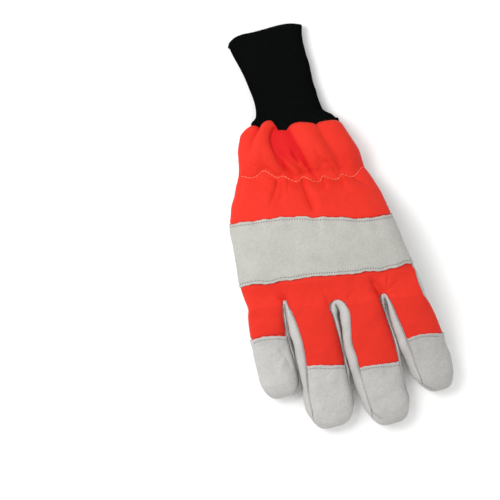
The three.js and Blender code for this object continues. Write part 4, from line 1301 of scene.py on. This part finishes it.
class GLOVE_OT_ribbed_cuff(bpy.types.Operator):
    """The ribbed knit tube round the wrist, tucked under the gathered cloth"""
    bl_idname = "glove.ribbed_cuff"
    bl_label = "Ribbed cuff"

    def execute(self, context):
        # The way round the tube, whose rounded corners make it shorter than a box's.
        around = 2 * (CUFF_WIDTH + CUFF_THICKNESS) * 0.92
        ribs = round(around / (look().rib_pitch / MM))
        columns = ribs * RIB_COLUMNS
        rising = np.concatenate([np.linspace(-1, 0, 8)[:-1], np.linspace(0, 0.12, 12)[:-1], np.linspace(0.12, 1, 67)])
        rows = len(rising) - 1

        def place(column, row):
            at = rising[row]
            points = cuff_skin(360 * column / columns, at)
            out = points[:, 0] / (CUFF_WIDTH / 2)
            points[:, 1] += through(CUFF_MOUTH, np.clip(out, -1, 1)) * ease((at - 0.72) / 0.28)
            # The foot of the tube is drawn out to the right, where the cloth's seam holds it.
            foot = (1 - ease((at - 0.045) / 0.09)) * ease((at + 0.01) / 0.03) * (0.6 + 0.4 * ease(at / 0.05))
            pull = SHOULDER * ease((out - 0.6) / 0.5) * foot
            points[:, 0] += pull
            points[:, 1] -= 0.2 * pull
            return points

        bm = sheet(columns, rows, place)
        bmesh.ops.remove_doubles(bm, verts=bm.verts[:], dist=0.005)
        facing_out(bm, Vector((0, 0, CUFF_THICKNESS / 2)))
        points = spots(bm)
        rib, at = steps(bm, "column") / RIB_COLUMNS, rising[steps(bm, "row").astype(int)]
        relief = look().rib_depth / MM * (np.cos(2 * np.pi * rib) - 1) * ease((at + 0.5) * 4)
        relief = relief + lumps(points, 18, 1.0, 81) * ease(at * 4) + lumps(points, 7, 0.3, 2) * ease(at * 6)
        # The mouth's hem is slightly wavy.
        relief = relief + 0.5 * ease((at - 0.95) / 0.05) * np.sin(rib * 0.7)
        emboss(bm, relief)
        above_floor(bm)
        weave = np.column_stack([rib * look().rib_pitch / MM, at * CUFF_LENGTH])
        knit = rib_knit(look().knit_colour)
        finish_panel(bm, "ribbed_cuff", knit, "knit_cuff", KNIT - CUFF_THINNER, weave)
        return {"FINISHED"}


# Stitching

def stitch_row(bm, surface, line, length, gap, width, sink=0.1):
    """Threads laid end to end along a line of the plan, each pressed into the surface at its ends."""
    line = smooth_line(line, 400)
    at = np.concatenate([[0], np.cumsum(np.linalg.norm(np.diff(line, axis=0), axis=1))])
    count = int((at[-1] - length) / (length + gap)) + 1
    for i in range(count):
        middle = i * (length + gap) + length / 2
        ends = [np.array([np.interp(middle + way * length / 2, at, line[:, k]) for k in (0, 1)]) for way in (-1, 1)]
        hits = []
        for end in ends:
            start = Vector(((end[0] + DATUM[0]) * MM, (end[1] + DATUM[1]) * MM, 0.2))
            hit = surface.ray_cast(start, Vector((0, 0, -1)))
            if hit[0] is not None:
                hits.append(hit)
        # A stitch on a steep side would stand off its seam, so none is laid there.
        if len(hits) < 2 or hits[0][1].z < 0.15:
            continue
        a, b = hits[0][0], hits[1][0]
        up = (hits[0][1] + hits[1][1]).normalized()
        way = (b - a).normalized()
        side = up.cross(way).normalized()
        up = way.cross(side)
        turn = Matrix((way, side, up)).transposed().to_4x4()
        # A little longer than its span, and about a third of its width proud of the surface.
        centre = (a + b) / 2 + up * (width * (0.32 - sink)) * MM
        size = Matrix.Diagonal(((b - a).length * 0.54, width * MM * 0.5, width * MM * 0.5, 1))
        matrix = Matrix.Translation(centre) @ turn @ size
        bmesh.ops.create_uvsphere(bm, u_segments=8, v_segments=5, radius=1.0, matrix=matrix)


# The stitches along each cap's upper edge, over the plan.
CAP_ROWS = {
    "little": [(-61.2, -16.4), (-56.5, -15.5), (-49.7, -16.7), (-43.9, -17.6), (-39.2, -19.6)],
    "ring": [(-29.4, -43.6), (-22.7, -44.3), (-15.2, -46.9), (-7.6, -48.2), (-4.4, -49.6)],
    "middle": [(6.4, -54), (10.8, -53.6), (18.4, -54.3), (26.9, -56.2), (34.2, -57)],
    "index": [(43.6, -42.5), (48.2, -41.8), (53.4, -41.2), (60.2, -42.3), (66.8, -44.8)],
}

# The last of the seam stitches beside the tips, where they show on the leather.
TIP_ROWS = {
    "middle": [(4.6, -71), (6.3, -79.2), (8.7, -85.9), (12, -90.1), (14.5, -91.6)],
    "index": [(42.9, -63.9), (45.6, -71), (48.6, -75.9), (52.3, -79.1), (55, -80.4)],
}

# The waist's stitches: length, gap, thread width, and how deep they sink in as a share of that.
WAIST_STITCH = (2.6, 0.05, 0.6, 0.05)


class GLOVE_OT_stitching(bpy.types.Operator):
    """The gathering seam's thread and the rows of stitches along the leather's edges"""
    bl_idname = "glove.stitching"
    bl_label = "Stitching"

    def execute(self, context):
        leather_stitch = (look().stitch_length / MM, look().stitch_gap / MM, look().thread_width / MM)
        salmon = sewing_thread("salmon_thread", look().waist_thread_colour)
        grey = sewing_thread("grey_thread", look().leather_thread_colour)
        shares = np.linspace(0.02, 0.985, 120)
        waist, band_top, band_foot = (
            back_skin(shares, through(edge, shares) + inset)[:, :2]
            for edge, inset in ((WAIST, 0), (BAND_EDGE, -STITCH_INSET), (BAND_FOOT, STITCH_INSET))
        )
        band_lines = [("leather_band", band_top), ("leather_band", band_foot)]
        cap_lines = [("cap_" + name, line) for rows in (CAP_ROWS, TIP_ROWS) for name, line in rows.items()]
        for name, thread, slot, stitch, lines in (
            ("waist_stitches", salmon, "cloth", WAIST_STITCH, [("gathered_cloth", waist)]),
            ("band_stitches", grey, "leather", leather_stitch, band_lines),
            ("cap_stitches", grey, "leather", leather_stitch, cap_lines),
        ):
            bm = bmesh.new()
            for surface, line in lines:
                stitch_row(bm, SURFACES[surface], line, *stitch)
            piece = new_object(bm, name, thread)
            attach(piece, "root")
        return {"FINISHED"}


class GLOVE_OT_stage(bpy.types.Operator):
    """The floor, the soft lights and the camera straight above the glove's back"""
    bl_idname = "glove.stage"
    bl_label = "Stage"

    def execute(self, context):
        scene = context.scene
        bm = bmesh.new()
        bmesh.ops.create_grid(bm, x_segments=8, y_segments=8, size=2.0)
        floor = new_object(bm, "floor", floor_paper())
        world = bpy.data.worlds.new("studio")
        world.use_nodes = True
        sky = world.node_tree.nodes["Background"]
        sky.inputs["Color"].default_value = (1.0, 1.0, 1.0, 1.0)
        sky.inputs["Strength"].default_value = 0.8
        scene.world = world
        for name, place, size, power in (
            ("key", (-0.34, 0.26, 0.62), 0.4, 3.65),
            ("fill", (0.4, -0.6, 1.3), 1.2, 2.0),
        ):
            light = bpy.data.lights.new(name, "AREA")
            light.shape, light.size, light.energy = "SQUARE", size, power
            lamp = bpy.data.objects.new(name, light)
            lamp.location = place
            lamp.rotation_euler = (-Vector(place)).to_track_quat("-Z", "Y").to_euler()
            scene.collection.objects.link(lamp)
        # Straight above, and turned so that the glove lies as it does in the picture.
        lens = bpy.data.cameras.new("camera")
        lens.lens, lens.sensor_width, lens.clip_end = 151.0, 36.0, 20.0
        camera = bpy.data.objects.new("camera", lens)
        camera.location = (-0.0512, -0.0012, 1.5)
        camera.rotation_euler = (0.0, 0.0, math.radians(-14.4))
        scene.collection.objects.link(camera)
        scene.camera = camera
        scene.view_settings.view_transform = "Standard"
        return {"FINISHED"}


OPERATORS = (
    GLOVE_OT_stage,
    GLOVE_OT_ribbed_cuff,
    GLOVE_OT_gathered_cloth,
    GLOVE_OT_leather_band,
    GLOVE_OT_finger_cloth,
    GLOVE_OT_palm_leather,
    GLOVE_OT_thumb_leather,
    GLOVE_OT_fingertip_caps,
    GLOVE_OT_side_strips,
    GLOVE_OT_stitching,
)


class GLOVE_PT_panel(bpy.types.Panel):
    bl_label = "Chainsaw glove"
    bl_idname = "GLOVE_PT_panel"
    bl_space_type = "VIEW_3D"
    bl_region_type = "UI"
    bl_category = "Glove"

    def draw(self, context):
        for name in GloveLook.__annotations__:
            self.layout.prop(context.scene.glove_look, name)
        for operator in OPERATORS:
            self.layout.operator(operator.bl_idname)


def register():
    for made in (GloveLook, *OPERATORS, GLOVE_PT_panel):
        bpy.utils.register_class(made)
    bpy.types.Scene.glove_look = PointerProperty(type=GloveLook)


def unregister():
    del bpy.types.Scene.glove_look
    for made in (GLOVE_PT_panel, *reversed(OPERATORS), GloveLook):
        bpy.utils.unregister_class(made)


def main():
    register()
    bpy.ops.glove.stage()
    bpy.ops.glove.ribbed_cuff()
    bpy.ops.glove.gathered_cloth()
    bpy.ops.glove.leather_band()
    bpy.ops.glove.finger_cloth()
    bpy.ops.glove.palm_leather()
    bpy.ops.glove.thumb_leather()
    bpy.ops.glove.fingertip_caps()
    bpy.ops.glove.side_strips()
    bpy.ops.glove.stitching()


if __name__ == "__main__":
    main()
